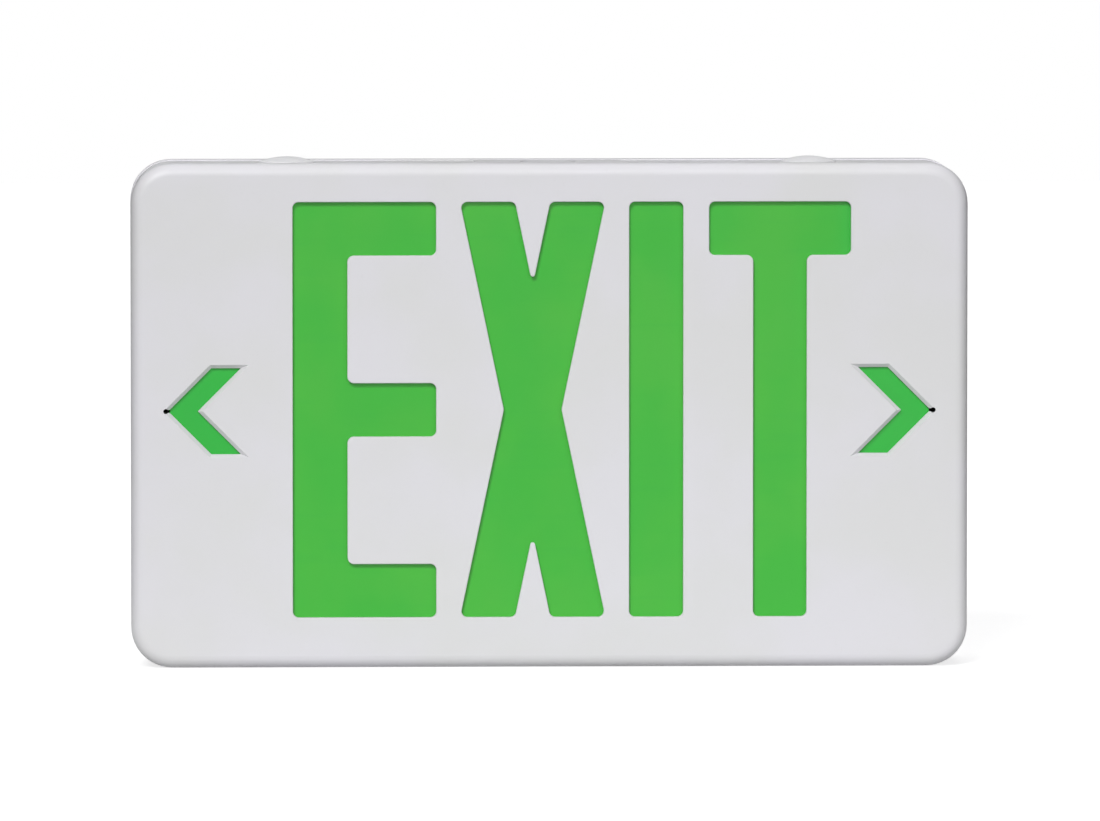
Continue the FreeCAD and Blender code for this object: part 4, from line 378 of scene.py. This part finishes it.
def axial_finish(name, node, length, colour, second, bands):
    """Barrels of a length with tinned leads.

    Each band runs from a start to an end along the barrel, in millimetres, and has a colour for
    each barrel up the row.
    """
    finish = Finish(name, colour, 0.36)
    finish.mottle(1.5 * MM, second, roughness=(0.28, 0.44))
    low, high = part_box(node)
    across = finish.along("X", finish.place(((low.x + high.x) / 2, 0, 0)))
    upward = finish.between(finish.along("Z"), low.z, high.z)
    upward.node.interpolation_type = "LINEAR"
    for start, end, colours in bands:
        ramp = finish.tree.nodes.new("ShaderNodeValToRGB")
        ramp.color_ramp.interpolation = "CONSTANT"
        finish.tree.links.new(upward, ramp.inputs[0])
        stops = ramp.color_ramp.elements
        stops[0].color = seen(*colours[0])
        stops[1].position = 1 / len(colours)
        stops[1].color = seen(*colours[1 % len(colours)])
        for number in range(2, len(colours)):
            stops.new(number / len(colours)).color = seen(*colours[number])
        finish.layer(finish.within(across, start * MM, end * MM), ramp.outputs[0], 0.3)
    half = (length / 2 + 0.02) * MM
    finish.layer(finish.outside(across, -half, half, 0.02 * MM), TIN, 0.28, 1.0)
    return finish.done(finish.bump(finish.noise(0.5 * MM, 2.0), 0.02 * MM))


def chip_case():
    """Dull black chip moulding between rows of tinned legs."""
    finish = Finish("chip_case", (30, 30, 32), 0.5)
    finish.mottle(1.5 * MM, (38, 38, 40), roughness=(0.42, 0.6))
    low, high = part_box("control_chip")
    legs = finish.outside(finish.along("Z"), low.z + 0.62 * MM, high.z - 0.62 * MM, 0.02 * MM)
    feet = finish.between(finish.along("Y"), -11.35 * MM, -11.25 * MM)
    finish.layer(finish.combine("MAXIMUM", legs, feet), TIN, 0.3, 1.0)
    return finish.done(finish.bump(finish.noise(0.15 * MM, 1.0), 0.01 * MM))


def transistor_case():
    """Black moulding, nickelled tab with its hole, tinned legs."""
    finish = Finish("transistor_case", (30, 30, 32), 0.46)
    finish.mottle(1.5 * MM, (38, 38, 40), roughness=(0.38, 0.55))
    low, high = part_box("power_transistor")
    body = finish.within(finish.along("Y"), low.y + 6.52 * MM, high.y - 4.02 * MM, 0.02 * MM)
    behind = finish.between(finish.along("Z"), high.z - 1.32 * MM, high.z - 1.28 * MM)
    bare = finish.combine("MAXIMUM", finish.combine("SUBTRACT", 1.0, body), behind)
    finish.layer(bare, TIN, 0.32, 1.0)
    return finish.done(finish.bump(finish.noise(0.15 * MM, 1.0), 0.01 * MM))


def can_sleeve():
    """Dark blue shrink sleeves with a pale polarity stripe, and scored aluminium tops."""
    finish = Finish("can_sleeve", (30, 48, 92), 0.30, Coat_Weight=0.4, Coat_Roughness=0.15)
    finish.mottle(4 * MM, (26, 42, 84), roughness=(0.24, 0.36))
    crosses = []
    low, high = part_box("smoothing_capacitors")
    large, small = LARGE_CAN * MM, SMALL_CAN * MM
    for centre, radius, top in (
        (low.x + large, large, low.y), (high.x - small, small, low.y + CAN_STEP * MM),
    ):
        hub = finish.place((centre, 0, low.z + large))
        near = finish.combine("LESS_THAN", finish.radius(hub, "X", "Z"), radius + 0.2 * MM)
        stripe = finish.within(finish.along("X", hub), -0.30 * radius, 0.30 * radius)
        lower = finish.combine("LESS_THAN", finish.along("Z", hub), 0.0)
        band = finish.combine("MULTIPLY", near, finish.combine("MULTIPLY", stripe, lower))
        finish.layer(band, seen(196, 202, 212))
        disc = finish.combine("LESS_THAN", finish.radius(hub, "X", "Z"), 0.86 * radius)
        front = finish.combine("LESS_THAN", finish.along("Y"), top + 0.02 * MM)
        lid = finish.combine("MULTIPLY", disc, front)
        finish.layer(lid, seen(202, 204, 207), 0.34, 1.0)
        for axis in "XZ":
            score = finish.within(finish.along(axis, hub), -0.18 * MM, 0.18 * MM)
            crosses.append(finish.combine("MULTIPLY", lid, score))
    cross = finish.combine(
        "MAXIMUM", finish.combine("MAXIMUM", *crosses[:2]), finish.combine("MAXIMUM", *crosses[2:]),
    )
    wrinkles = finish.bump(finish.noise(2 * MM, 1.0), 0.02 * MM)
    return finish.done(finish.bump(cross, -0.15 * MM, wrinkles))


def disc_coat():
    """Blue dipped epoxy that has run a little way down its tinned legs."""
    finish = Finish("disc_coat", (40, 84, 168), 0.26)
    finish.mottle(3 * MM, (34, 74, 156), roughness=(0.18, 0.34))
    ragged = finish.combine("MULTIPLY", finish.noise(1 * MM), 0.6 * MM)
    run = finish.combine("ADD", finish.along("Y"), ragged)
    finish.layer(finish.between(run, -12.0 * MM, -11.9 * MM), TIN, 0.3, 1.0)
    return finish.done(finish.bump(finish.noise(1.6 * MM, 2.0), 0.06 * MM))


def fuse_glass():
    """Clear glass between two nickel caps."""
    finish = Finish("fuse_glass", (238, 243, 240), 0.05, IOR=1.5)
    low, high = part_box("fuse_link")
    cap = FUSE_CAP * MM
    caps = finish.outside(finish.along("X"), low.x + cap, high.x - cap, 0.02 * MM)
    cloud = finish.noise(1.2 * MM, 3.0)
    nickel = finish.mix(cloud, seen(196, 194, 186), seen(214, 213, 208))
    finish.layer(caps, nickel, finish.between(cloud, 0.3, 0.7, 0.2, 0.36), 1.0)
    clear = finish.combine("MULTIPLY", finish.combine("SUBTRACT", 1.0, caps), 0.95)
    finish.tree.links.new(clear, finish.shader.inputs["Transmission Weight"])
    return finish.done(finish.bump(cloud, 0.01 * MM))


def cell_sleeve():
    """Blue shrink film over three cells, slightly rippled, with a seam along each."""
    finish = Finish("cell_sleeve", (34, 84, 158), 0.28, Coat_Weight=0.5, Coat_Roughness=0.1)
    finish.mottle(9 * MM, (30, 76, 148), roughness=(0.20, 0.34))
    seam = finish.within(finish.along("Y"), -9.0 * MM, -8.6 * MM, 0.1 * MM)
    ripple = finish.noise(7 * MM, 2.0, place=finish.place(stretch=(0.5, 1, 1)))
    low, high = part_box("battery_pack")
    ends = finish.outside(finish.along("X"), low.x + 1.5 * MM, high.x - 1.5 * MM, 1.0 * MM)
    pucker = finish.combine("MULTIPLY", ends, finish.noise(1.3 * MM, 1.0))
    relief = finish.bump(seam, 0.05 * MM, finish.bump(ripple, 0.14 * MM))
    return finish.done(finish.bump(pucker, 0.15 * MM, relief))


def insulation(name, colour, second):
    """Glossy vinyl over stranded wire, the strands just telling through."""
    finish = Finish(name, colour, 0.28)
    finish.mottle(7 * MM, second, roughness=(0.22, 0.38))
    slant = finish.combine("ADD", finish.along("X"), finish.along("Y"))
    lay = finish.combine("ADD", slant, finish.along("Z"))
    strand = finish.combine("SINE", finish.combine("MULTIPLY", lay, 2 * math.pi / (0.8 * MM)))
    return finish.done(finish.bump(strand, 0.008 * MM))


def painted(material, *nodes):
    """Gives CAD nodes a finish."""
    for name in nodes:
        for slot in NODES[name].material_slots:
            slot.material = material


ORANGE, VIOLET, GREEN, BROWN = (214, 110, 30), (112, 64, 140), (40, 128, 66), (96, 58, 34)
RED, BLACK, YELLOW, GOLD = (190, 34, 28), (28, 26, 26), (222, 190, 44), (168, 130, 52)
SILVER = (198, 200, 202)
ZINC = metal("zinc_steel", (205, 206, 208), (214, 211, 198), (0.26, 0.44), 0.3 * MM)
TINNED = metal("tinned_sheet", (206, 207, 206), (196, 197, 198), (0.22, 0.36), 0.4 * MM)
BLACK_PLASTIC = moulded("black_plastic", (34, 34, 36), (28, 28, 30))
CELL_SLEEVE = cell_sleeve()
SOLDER = metal("solder", (212, 213, 214), (200, 201, 202), (0.36, 0.52), 0.5 * MM)
NYLON = moulded(
    "nylon", (226, 223, 208), (220, 216, 198), Subsurface_Weight=0.15,
    Subsurface_Radius=(0.8 * MM, 0.8 * MM, 0.6 * MM), Subsurface_Scale=1.0,
)


def paint_parts():
    """Every CAD node, from the case inwards."""
    painted(white_plastic(), "face_plate", "housing_frame", "back_plate")
    painted(green_lens(), "colour_lens")
    painted(clear_plug(), "top_plug_left", "top_plug_right")
    painted(
        ZINC, "case_screws", "board_screws", "bracket_screws", "switch_board_screws", "terminal_screws",
    )
    painted(circuit_board(), "driver_board")
    painted(switch_laminate(), "switch_board")
    painted(white_board(), "upper_lamp_board", "lower_lamp_board")
    painted(clear_epoxy(), "upper_lamps", "lower_lamps")
    painted(core_steel(), "transformer_core")
    painted(winding_tape(), "transformer_winding")
    painted(BLACK_PLASTIC, "transformer_bobbin", "push_switch")
    painted(moulded("film_case", (206, 172, 78), (198, 162, 68), (0.24, 0.38)), "film_capacitor")
    painted(can_sleeve(), "smoothing_capacitors")
    cathode_band = [(1.4, 2.1, [SILVER] * ROWS)]
    painted(
        axial_finish(
            "diode_case", "rectifier_diodes", DIODE_LENGTH, (34, 34, 36), (28, 28, 30), cathode_band,
        ),
        "rectifier_diodes",
    )
    value_bands = [
        (-2.4, -1.8, [BROWN, YELLOW, RED, ORANGE]),
        (-1.3, -0.7, [BLACK, VIOLET, RED, ORANGE]),
        (-0.2, 0.4, [RED, ORANGE, BROWN, GREEN]),
        (1.7, 2.3, [GOLD] * ROWS),
    ]
    painted(
        axial_finish(
            "resistor_coat", "resistors", RESISTOR_LENGTH, (206, 176, 132), (198, 166, 120), value_bands,
        ),
        "resistors",
    )
    painted(chip_case(), "control_chip")
    painted(transistor_case(), "power_transistor")
    painted(fuse_glass(), "fuse_link")
    painted(TINNED, "fuse_clips")
    painted(disc_coat(), "surge_disc")
    painted(moulded("terminal_green", (56, 148, 88), (50, 138, 80), (0.3, 0.44)), "supply_terminal")
    painted(NYLON, "lead_sockets", "battery_socket", "battery_plug", "battery_bracket")
    painted(
        insulation("white_insulation", (226, 226, 222), (216, 216, 212)),
        "upper_lamp_leads", "lower_lamp_leads",
    )
    painted(insulation("red_insulation", (196, 34, 30), (180, 28, 26)), "battery_lead_red")
    painted(
        insulation("black_insulation", (32, 32, 33), (26, 26, 27)),
        "battery_lead_black", "switch_leads",
    )
    painted(CELL_SLEEVE, "battery_pack")
    painted(red_epoxy(), "test_button", "pilot_lamp")
    painted(
        metal("spring_steel", (190, 190, 192), (178, 178, 182), (0.2, 0.34), 0.2 * MM),
        "button_spring",
    )


# ---------------------------------------------------------------- small parts inside the case


class Detail:
    """Small hard pieces of one finish, joined into one object that the case carries."""

    def __init__(self, name):
        self.name = name
        self.shape = bmesh.new()

    def rod(self, start, end, first, second=None, sides=8):
        """A closed cone or cylinder between two points, in millimetres."""
        start, end = Vector(start) * MM, Vector(end) * MM
        way = end - start
        turned = way.to_track_quat("Z", "Y").to_matrix().to_4x4()
        bmesh.ops.create_cone(
            self.shape, cap_ends=True, segments=sides, radius1=first * MM,
            radius2=(first if second is None else second) * MM, depth=way.length,
            matrix=Matrix.Translation((start + end) / 2) @ turned,
        )

    def block(self, centre, size):
        """A box round its centre, in millimetres."""
        place = Matrix.Translation(Vector(centre) * MM) @ Matrix.Diagonal((*size, 1))
        bmesh.ops.create_cube(self.shape, size=MM, matrix=place)

    def outline(self, left, low, right, high, width=0.3):
        """A printed rectangle on the driver board's face."""
        level, thick = BOARD_FACE - 0.01, 0.02
        for up in (low, high):
            self.block(((left + right) / 2, level, up), (right - left + width, thick, width))
        for across in (left, right):
            self.block((across, level, (low + high) / 2), (width, thick, high - low - width))

    def ring(self, start, end, centre, inner, outer, sides=32):
        """A flat band round the X axis through centre, from start to end along it."""
        loops = []
        for across, radius in ((start, inner), (start, outer), (end, outer), (end, inner)):
            place = Matrix.Translation(Vector((across, *centre)) * MM)
            made = bmesh.ops.create_circle(
                self.shape, segments=sides, radius=radius * MM,
                matrix=place @ Matrix.Rotation(math.radians(90), 4, "Y"),
            )
            loops.append(list({edge for vert in made["verts"] for edge in vert.link_edges}))
        for one, other in zip(loops, loops[1:] + loops[:1]):
            bmesh.ops.bridge_loops(self.shape, edges=one + other)

    def done(self, material, slot):
        """Makes the object and lets the case carry it."""
        bmesh.ops.recalc_face_normals(self.shape, faces=self.shape.faces)
        mesh = bpy.data.meshes.new(self.name)
        self.shape.to_mesh(mesh)
        self.shape.free()
        mesh.materials.append(material)
        piece = bpy.data.objects.new(self.name, mesh)
        bpy.context.scene.collection.objects.link(piece)
        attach(piece, "case")


def lamp_rows():
    """Every lamp's place across, its board's inner and outer faces, and which way it points."""
    for board, side in (("upper_lamp_board", 1), ("lower_lamp_board", -1)):
        low, high = millimetres(board)
        inner, outer = (low.z, high.z) if side > 0 else (high.z, low.z)
        for number in range(LAMPS):
            yield (number - (LAMPS - 1) / 2) * LAMP_PITCH, (low.y + high.y) / 2, inner, outer, side


def lamp_frames():
    """The post with its reflector cup, and the shorter anvil, inside each clear lamp."""
    frames = Detail("lamp_frames")
    for across, depth, inner, _, side in lamp_rows():
        cup = across - 0.4
        frames.block((across - 0.75, depth, inner - 2.2 * side), (0.5, 0.5, 4.4))
        frames.rod((cup, depth, inner - 4.0 * side), (cup, depth, inner - 5.2 * side), 0.5, 1.0)
        frames.block((across + 1.15, depth, inner - 2.6 * side), (0.5, 0.5, 5.2))
    frames.done(TINNED, "tinned_sheet")


def lamp_joints():
    """Solder where the lamps and their wires are fixed to the lamp boards."""
    joints = Detail("lamp_joints")
    for across, depth, _, outer, side in lamp_rows():
        for leg in (-LEG_PITCH / 2, LEG_PITCH / 2):
            joints.rod((across + leg, depth, outer), (across + leg, depth, outer + 0.7 * side), 1.0, 0.35)
    for leads, board, side in (
        ("upper_lamp_leads", "upper_lamp_board", 1), ("lower_lamp_leads", "lower_lamp_board", -1),
    ):
        low, high = millimetres(board)
        inner = low.z if side > 0 else high.z
        wire = millimetres(leads)[0].x + WIRE_RADIUS
        for across in (wire, wire + WIRE_PITCH):
            joints.rod(
                (across, (low.y + high.y) / 2, inner), (across, (low.y + high.y) / 2, inner - 0.8 * side),
                1.25, 0.8, 12,
            )
    joints.done(SOLDER, "tinned_sheet")


def board_legs():
    """Where legs pass through the driver board, across and up."""
    for node, radius in (("rectifier_diodes", DIODE_RADIUS), ("resistors", RESISTOR_RADIUS)):
        low, high = millimetres(node)
        for number in range(ROWS):
            for across in (low.x + LEAD_RADIUS, high.x - LEAD_RADIUS):
                yield across, low.z + radius + number * ROW_PITCH
    low, high = millimetres("surge_disc")
    for across in (-LEG_PITCH, LEG_PITCH):
        yield (low.x + high.x) / 2 + across, (low.z + high.z) / 2
    low, high = millimetres("power_transistor")
    for number in (-1, 0, 1):
        yield (low.x + high.x) / 2 + number * LEG_PITCH, TRANSISTOR_LEG_UP
    low, high = millimetres("control_chip")
    for number in (-1.5, -0.5, 0.5, 1.5):
        for up in (low.z + 0.1, high.z - 0.1):
            yield (low.x + high.x) / 2 + number * LEG_PITCH, up


def board_joints():
    """Tinned pads with their fillets on the driver board's face."""
    joints = Detail("board_joints")
    for across, up in board_legs():
        joints.rod((across, BOARD_FACE, up), (across, BOARD_FACE - 0.04, up), 1.05, sides=12)
        joints.rod((across, BOARD_FACE - 0.04, up), (across, BOARD_FACE - 0.5, up), 0.8, 0.4, 12)
    joints.done(SOLDER, "tinned_sheet")


def component_outlines():
    """The white print round each component of the driver board."""
    print_marks = Detail("component_outlines")
    for node in (
        "transformer_core", "film_capacitor", "control_chip", "supply_terminal", "fuse_link",
        "surge_disc", "power_transistor",
    ):
        low, high = millimetres(node)
        print_marks.outline(low.x - 0.8, low.z - 0.8, high.x + 0.8, high.z + 0.8)
    for node, radius, length in (
        ("rectifier_diodes", DIODE_RADIUS, DIODE_LENGTH), ("resistors", RESISTOR_RADIUS, RESISTOR_LENGTH),
    ):
        low, high = millimetres(node)
        across, half = (low.x + high.x) / 2, length / 2 + 0.4
        for number in range(ROWS):
            up = low.z + radius + number * ROW_PITCH
            print_marks.outline(across - half, up - 1.8, across + half, up + 1.8)
    low, high = millimetres("smoothing_capacitors")
    for across, radius in ((low.x + LARGE_CAN, LARGE_CAN), (high.x - SMALL_CAN, SMALL_CAN)):
        up = low.z + LARGE_CAN
        print_marks.rod(
            (across, BOARD_FACE, up), (across, BOARD_FACE - 0.02, up), radius + 0.7, sides=36,
        )
    print_marks.done(
        moulded("board_print", (228, 228, 222), (214, 215, 208), (0.5, 0.7)), "white_plastic",
    )


def battery_ends():
    """The shrink film folded in over each cell's end, round a disc of grey card."""
    film, card = Detail("film_ends"), Detail("card_discs")
    low, high = millimetres("battery_pack")
    radius = (high.y - low.y) / 2
    depth = (low.y + high.y) / 2
    for number in range(3):
        up = low.z + radius + number * (high.z - low.z - 2 * radius) / 2
        for end, outward in ((low.x, -1), (high.x, 1)):
            film.ring(end, end + 0.3 * outward, (depth, up), radius - 2.0, radius - 0.35)
            card.rod((end, depth, up), (end + 0.12 * outward, depth, up), radius - 1.9, sides=32)
    film.done(CELL_SLEEVE, "cell_sleeve")
    card.done(moulded("grey_card", (176, 172, 160), (160, 156, 146), (0.7, 0.9), 0.5 * MM), "nylon")


def fuse_wire():
    """The wire and its bead inside the glass, run a little way into both caps."""
    wire = Detail("fuse_wire")
    low, high = millimetres("fuse_link")
    depth, up = (low.y + high.y) / 2, (low.z + high.z) / 2
    bead, hidden = (low.x + high.x) / 2, FUSE_CAP - 0.4
    wire.rod((low.x + hidden, depth, up), (high.x - hidden, depth, up), 0.12, sides=6)
    wire.rod((bead - 0.5, depth, up), (bead + 0.5, depth, up), 0.3, sides=8)
    wire.done(TINNED, "tinned_sheet")


def terminal_clamps():
    """The plated clamp inside each wire mouth."""
    clamps = Detail("terminal_clamps")
    low, high = millimetres("supply_terminal")
    for number in (-1, 0, 1):
        up = (low.z + high.z) / 2 + number * ROW_PITCH
        clamps.block((high.x - 3.4, BOARD_FACE - 5.4, up), (3.6, 0.5, 2.2))
        clamps.block((high.x - 5.4, BOARD_FACE - 4.4, up), (0.6, 2.2, 2.2))
    clamps.done(ZINC, "zinc_steel")


def switch_joints():
    """Solder on top of the small board: four switch legs, two lamp legs, two wires."""
    joints = Detail("switch_joints")
    switch_low, switch_high = millimetres("push_switch")
    lamp_low, lamp_high = millimetres("pilot_lamp")
    board_low, board_high = millimetres("switch_board")
    top, depth = board_high.z, (switch_low.y + switch_high.y) / 2
    legs = [
        (across, along)
        for across in (switch_low.x + 1, switch_high.x - 1)
        for along in (switch_low.y + 1, switch_high.y - 1)
    ]
    legs += [((lamp_low.x + lamp_high.x) / 2 + side * LEG_PITCH / 2, depth) for side in (-1, 1)]
    for across, along in legs:
        joints.rod((across, along, top), (across, along, top + 0.7), 1.0, 0.35)
    edge, up = board_low.x, top - 0.8
    for side in (-1, 1):
        joints.rod((edge - 0.7, depth + side, up), (edge + 0.2, depth + side, up), WIRE_RADIUS, 1.0, 12)
    joints.done(SOLDER, "tinned_sheet")


def fit_small_parts():
    """Everything small that shows once the face plate is off."""
    lamp_frames()
    lamp_joints()
    board_joints()
    component_outlines()
    battery_ends()
    fuse_wire()
    terminal_clamps()
    switch_joints()


# ---------------------------------------------------------------- studio

VIEW_DISTANCE = 4.4
VIEW_LEFT = math.radians(2.0)
VIEW_RISE = math.radians(3.6)
FIELD_WIDTH = 403.5 * MM
AIM = Vector((0.2, -40.0, 1.6)) * MM
FLOOR_SPAN = 8.0
WORLD_LIGHT = 0.05
FLOOR_GLOW = 0.74
FLOOR_GAP = 0.1 * MM
STRIP_HALF_WIDTH = 0.22
STRIP_WHITE = (186, 186, 187)
CARD_BLACK = (20, 20, 20)


def camera():
    """A long lens a little above and to the left of the sign."""
    lens = bpy.data.cameras.new("camera")
    lens.sensor_width = 36.0
    lens.lens = VIEW_DISTANCE / FIELD_WIDTH * lens.sensor_width
    lens.clip_end = 50.0
    eye = bpy.data.objects.new("camera", lens)
    bpy.context.scene.collection.objects.link(eye)
    back = Vector((
        -math.sin(VIEW_LEFT) * math.cos(VIEW_RISE),
        -math.cos(VIEW_LEFT) * math.cos(VIEW_RISE),
        math.sin(VIEW_RISE),
    ))
    turned = (-back).to_track_quat("-Z", "Y").to_matrix().to_4x4()
    eye.matrix_world = Matrix.Translation(AIM + back * VIEW_DISTANCE) @ turned
    bpy.context.scene.camera = eye


def sun(name, side, rise, spread, strength, gleam=True):
    """A distant soft light: side is degrees to the right of the viewer's line, rise above it."""
    light = bpy.data.lights.new(name, "SUN")
    light.angle = math.radians(spread)
    light.energy = strength
    source = bpy.data.objects.new(name, light)
    source.visible_glossy = gleam
    bpy.context.scene.collection.objects.link(source)
    across, up = math.radians(side), math.radians(rise)
    back = Vector((math.sin(across) * math.cos(up), -math.cos(across) * math.cos(up), math.sin(up)))
    turned = (-back).to_track_quat("-Z", "Y").to_matrix().to_4x4()
    source.matrix_world = Matrix.Translation(back * 3) @ turned


def studio_world():
    """White to the eye and to glass, a dim grey as light."""
    world = bpy.data.worlds.new("studio")
    bpy.context.scene.world = world
    world.use_nodes = True
    tree = world.node_tree
    tree.nodes.clear()
    output = tree.nodes.new("ShaderNodeOutputWorld")
    background = tree.nodes.new("ShaderNodeBackground")
    path = tree.nodes.new("ShaderNodeLightPath")
    level = tree.nodes.new("ShaderNodeMix")
    level.inputs[2].default_value = WORLD_LIGHT
    level.inputs[3].default_value = 1.0
    tree.links.new(path.outputs["Is Camera Ray"], level.inputs[0])
    tree.links.new(level.outputs[0], background.inputs["Strength"])
    tree.links.new(background.outputs[0], output.inputs[0])
    background.inputs["Color"].default_value = (1.0, 1.0, 1.0, 1.0)


def studio_floor():
    """A pale table top that the sign stands on, open to the eye from below.

    It throws light back only from a strip in front of the sign, as between two black cards, so
    that the white sides stay readable against the white surroundings.
    """
    shape = bmesh.new()
    bmesh.ops.create_grid(shape, x_segments=1, y_segments=1, size=FLOOR_SPAN / 2)
    bmesh.ops.translate(shape, vec=(0, 0, CAD_LOW.z - FLOOR_GAP), verts=shape.verts)
    mesh = bpy.data.meshes.new("floor")
    shape.to_mesh(mesh)
    shape.free()
    floor = bpy.data.objects.new("floor", mesh)
    bpy.context.scene.collection.objects.link(floor)
    finish = Finish("floor_paper", (178, 178, 179), 0.85)
    path = finish.tree.nodes.new("ShaderNodeLightPath")
    aside = finish.combine("ABSOLUTE", finish.along("X"))
    strip = finish.mix(
        finish.between(aside, 0.9 * STRIP_HALF_WIDTH, 1.1 * STRIP_HALF_WIDTH),
        seen(*STRIP_WHITE), seen(*CARD_BLACK),
    )
    finish.layer(path.outputs["Is Diffuse Ray"], strip)
    eye = finish.combine("MAXIMUM", path.outputs["Is Camera Ray"], path.outputs["Is Glossy Ray"])
    strength = finish.combine("MULTIPLY", eye, FLOOR_GLOW)
    glow = finish.step("ShaderNodeEmission", 0, {"Color": (1, 1, 1, 1), "Strength": strength})
    lit = finish.step("ShaderNodeAddShader", 0, {0: finish.shader.outputs[0], 1: glow})
    open_side = finish.step("ShaderNodeBsdfTransparent", 0)
    back = finish.step("ShaderNodeNewGeometry", "Backfacing")
    sides = finish.step("ShaderNodeMixShader", 0, {0: back, 1: lit, 2: open_side})
    mesh.materials.append(finish.done())
    finish.tree.links.new(sides, finish.output.inputs[0])


def studio():
    """The camera, the surroundings and four distant lights."""
    camera()
    studio_world()
    studio_floor()
    sun("key", -17, 34, 19, 2.26)
    sun("fill", 22, 5, 46, 0.98)
    sun("overhead", 180, 84, 30, 0.92, gleam=False)
    sun("rear", 180, 12, 40, 1.60, gleam=False)
    bpy.context.scene.view_settings.view_transform = "Standard"


paint_parts()
fit_small_parts()
studio()
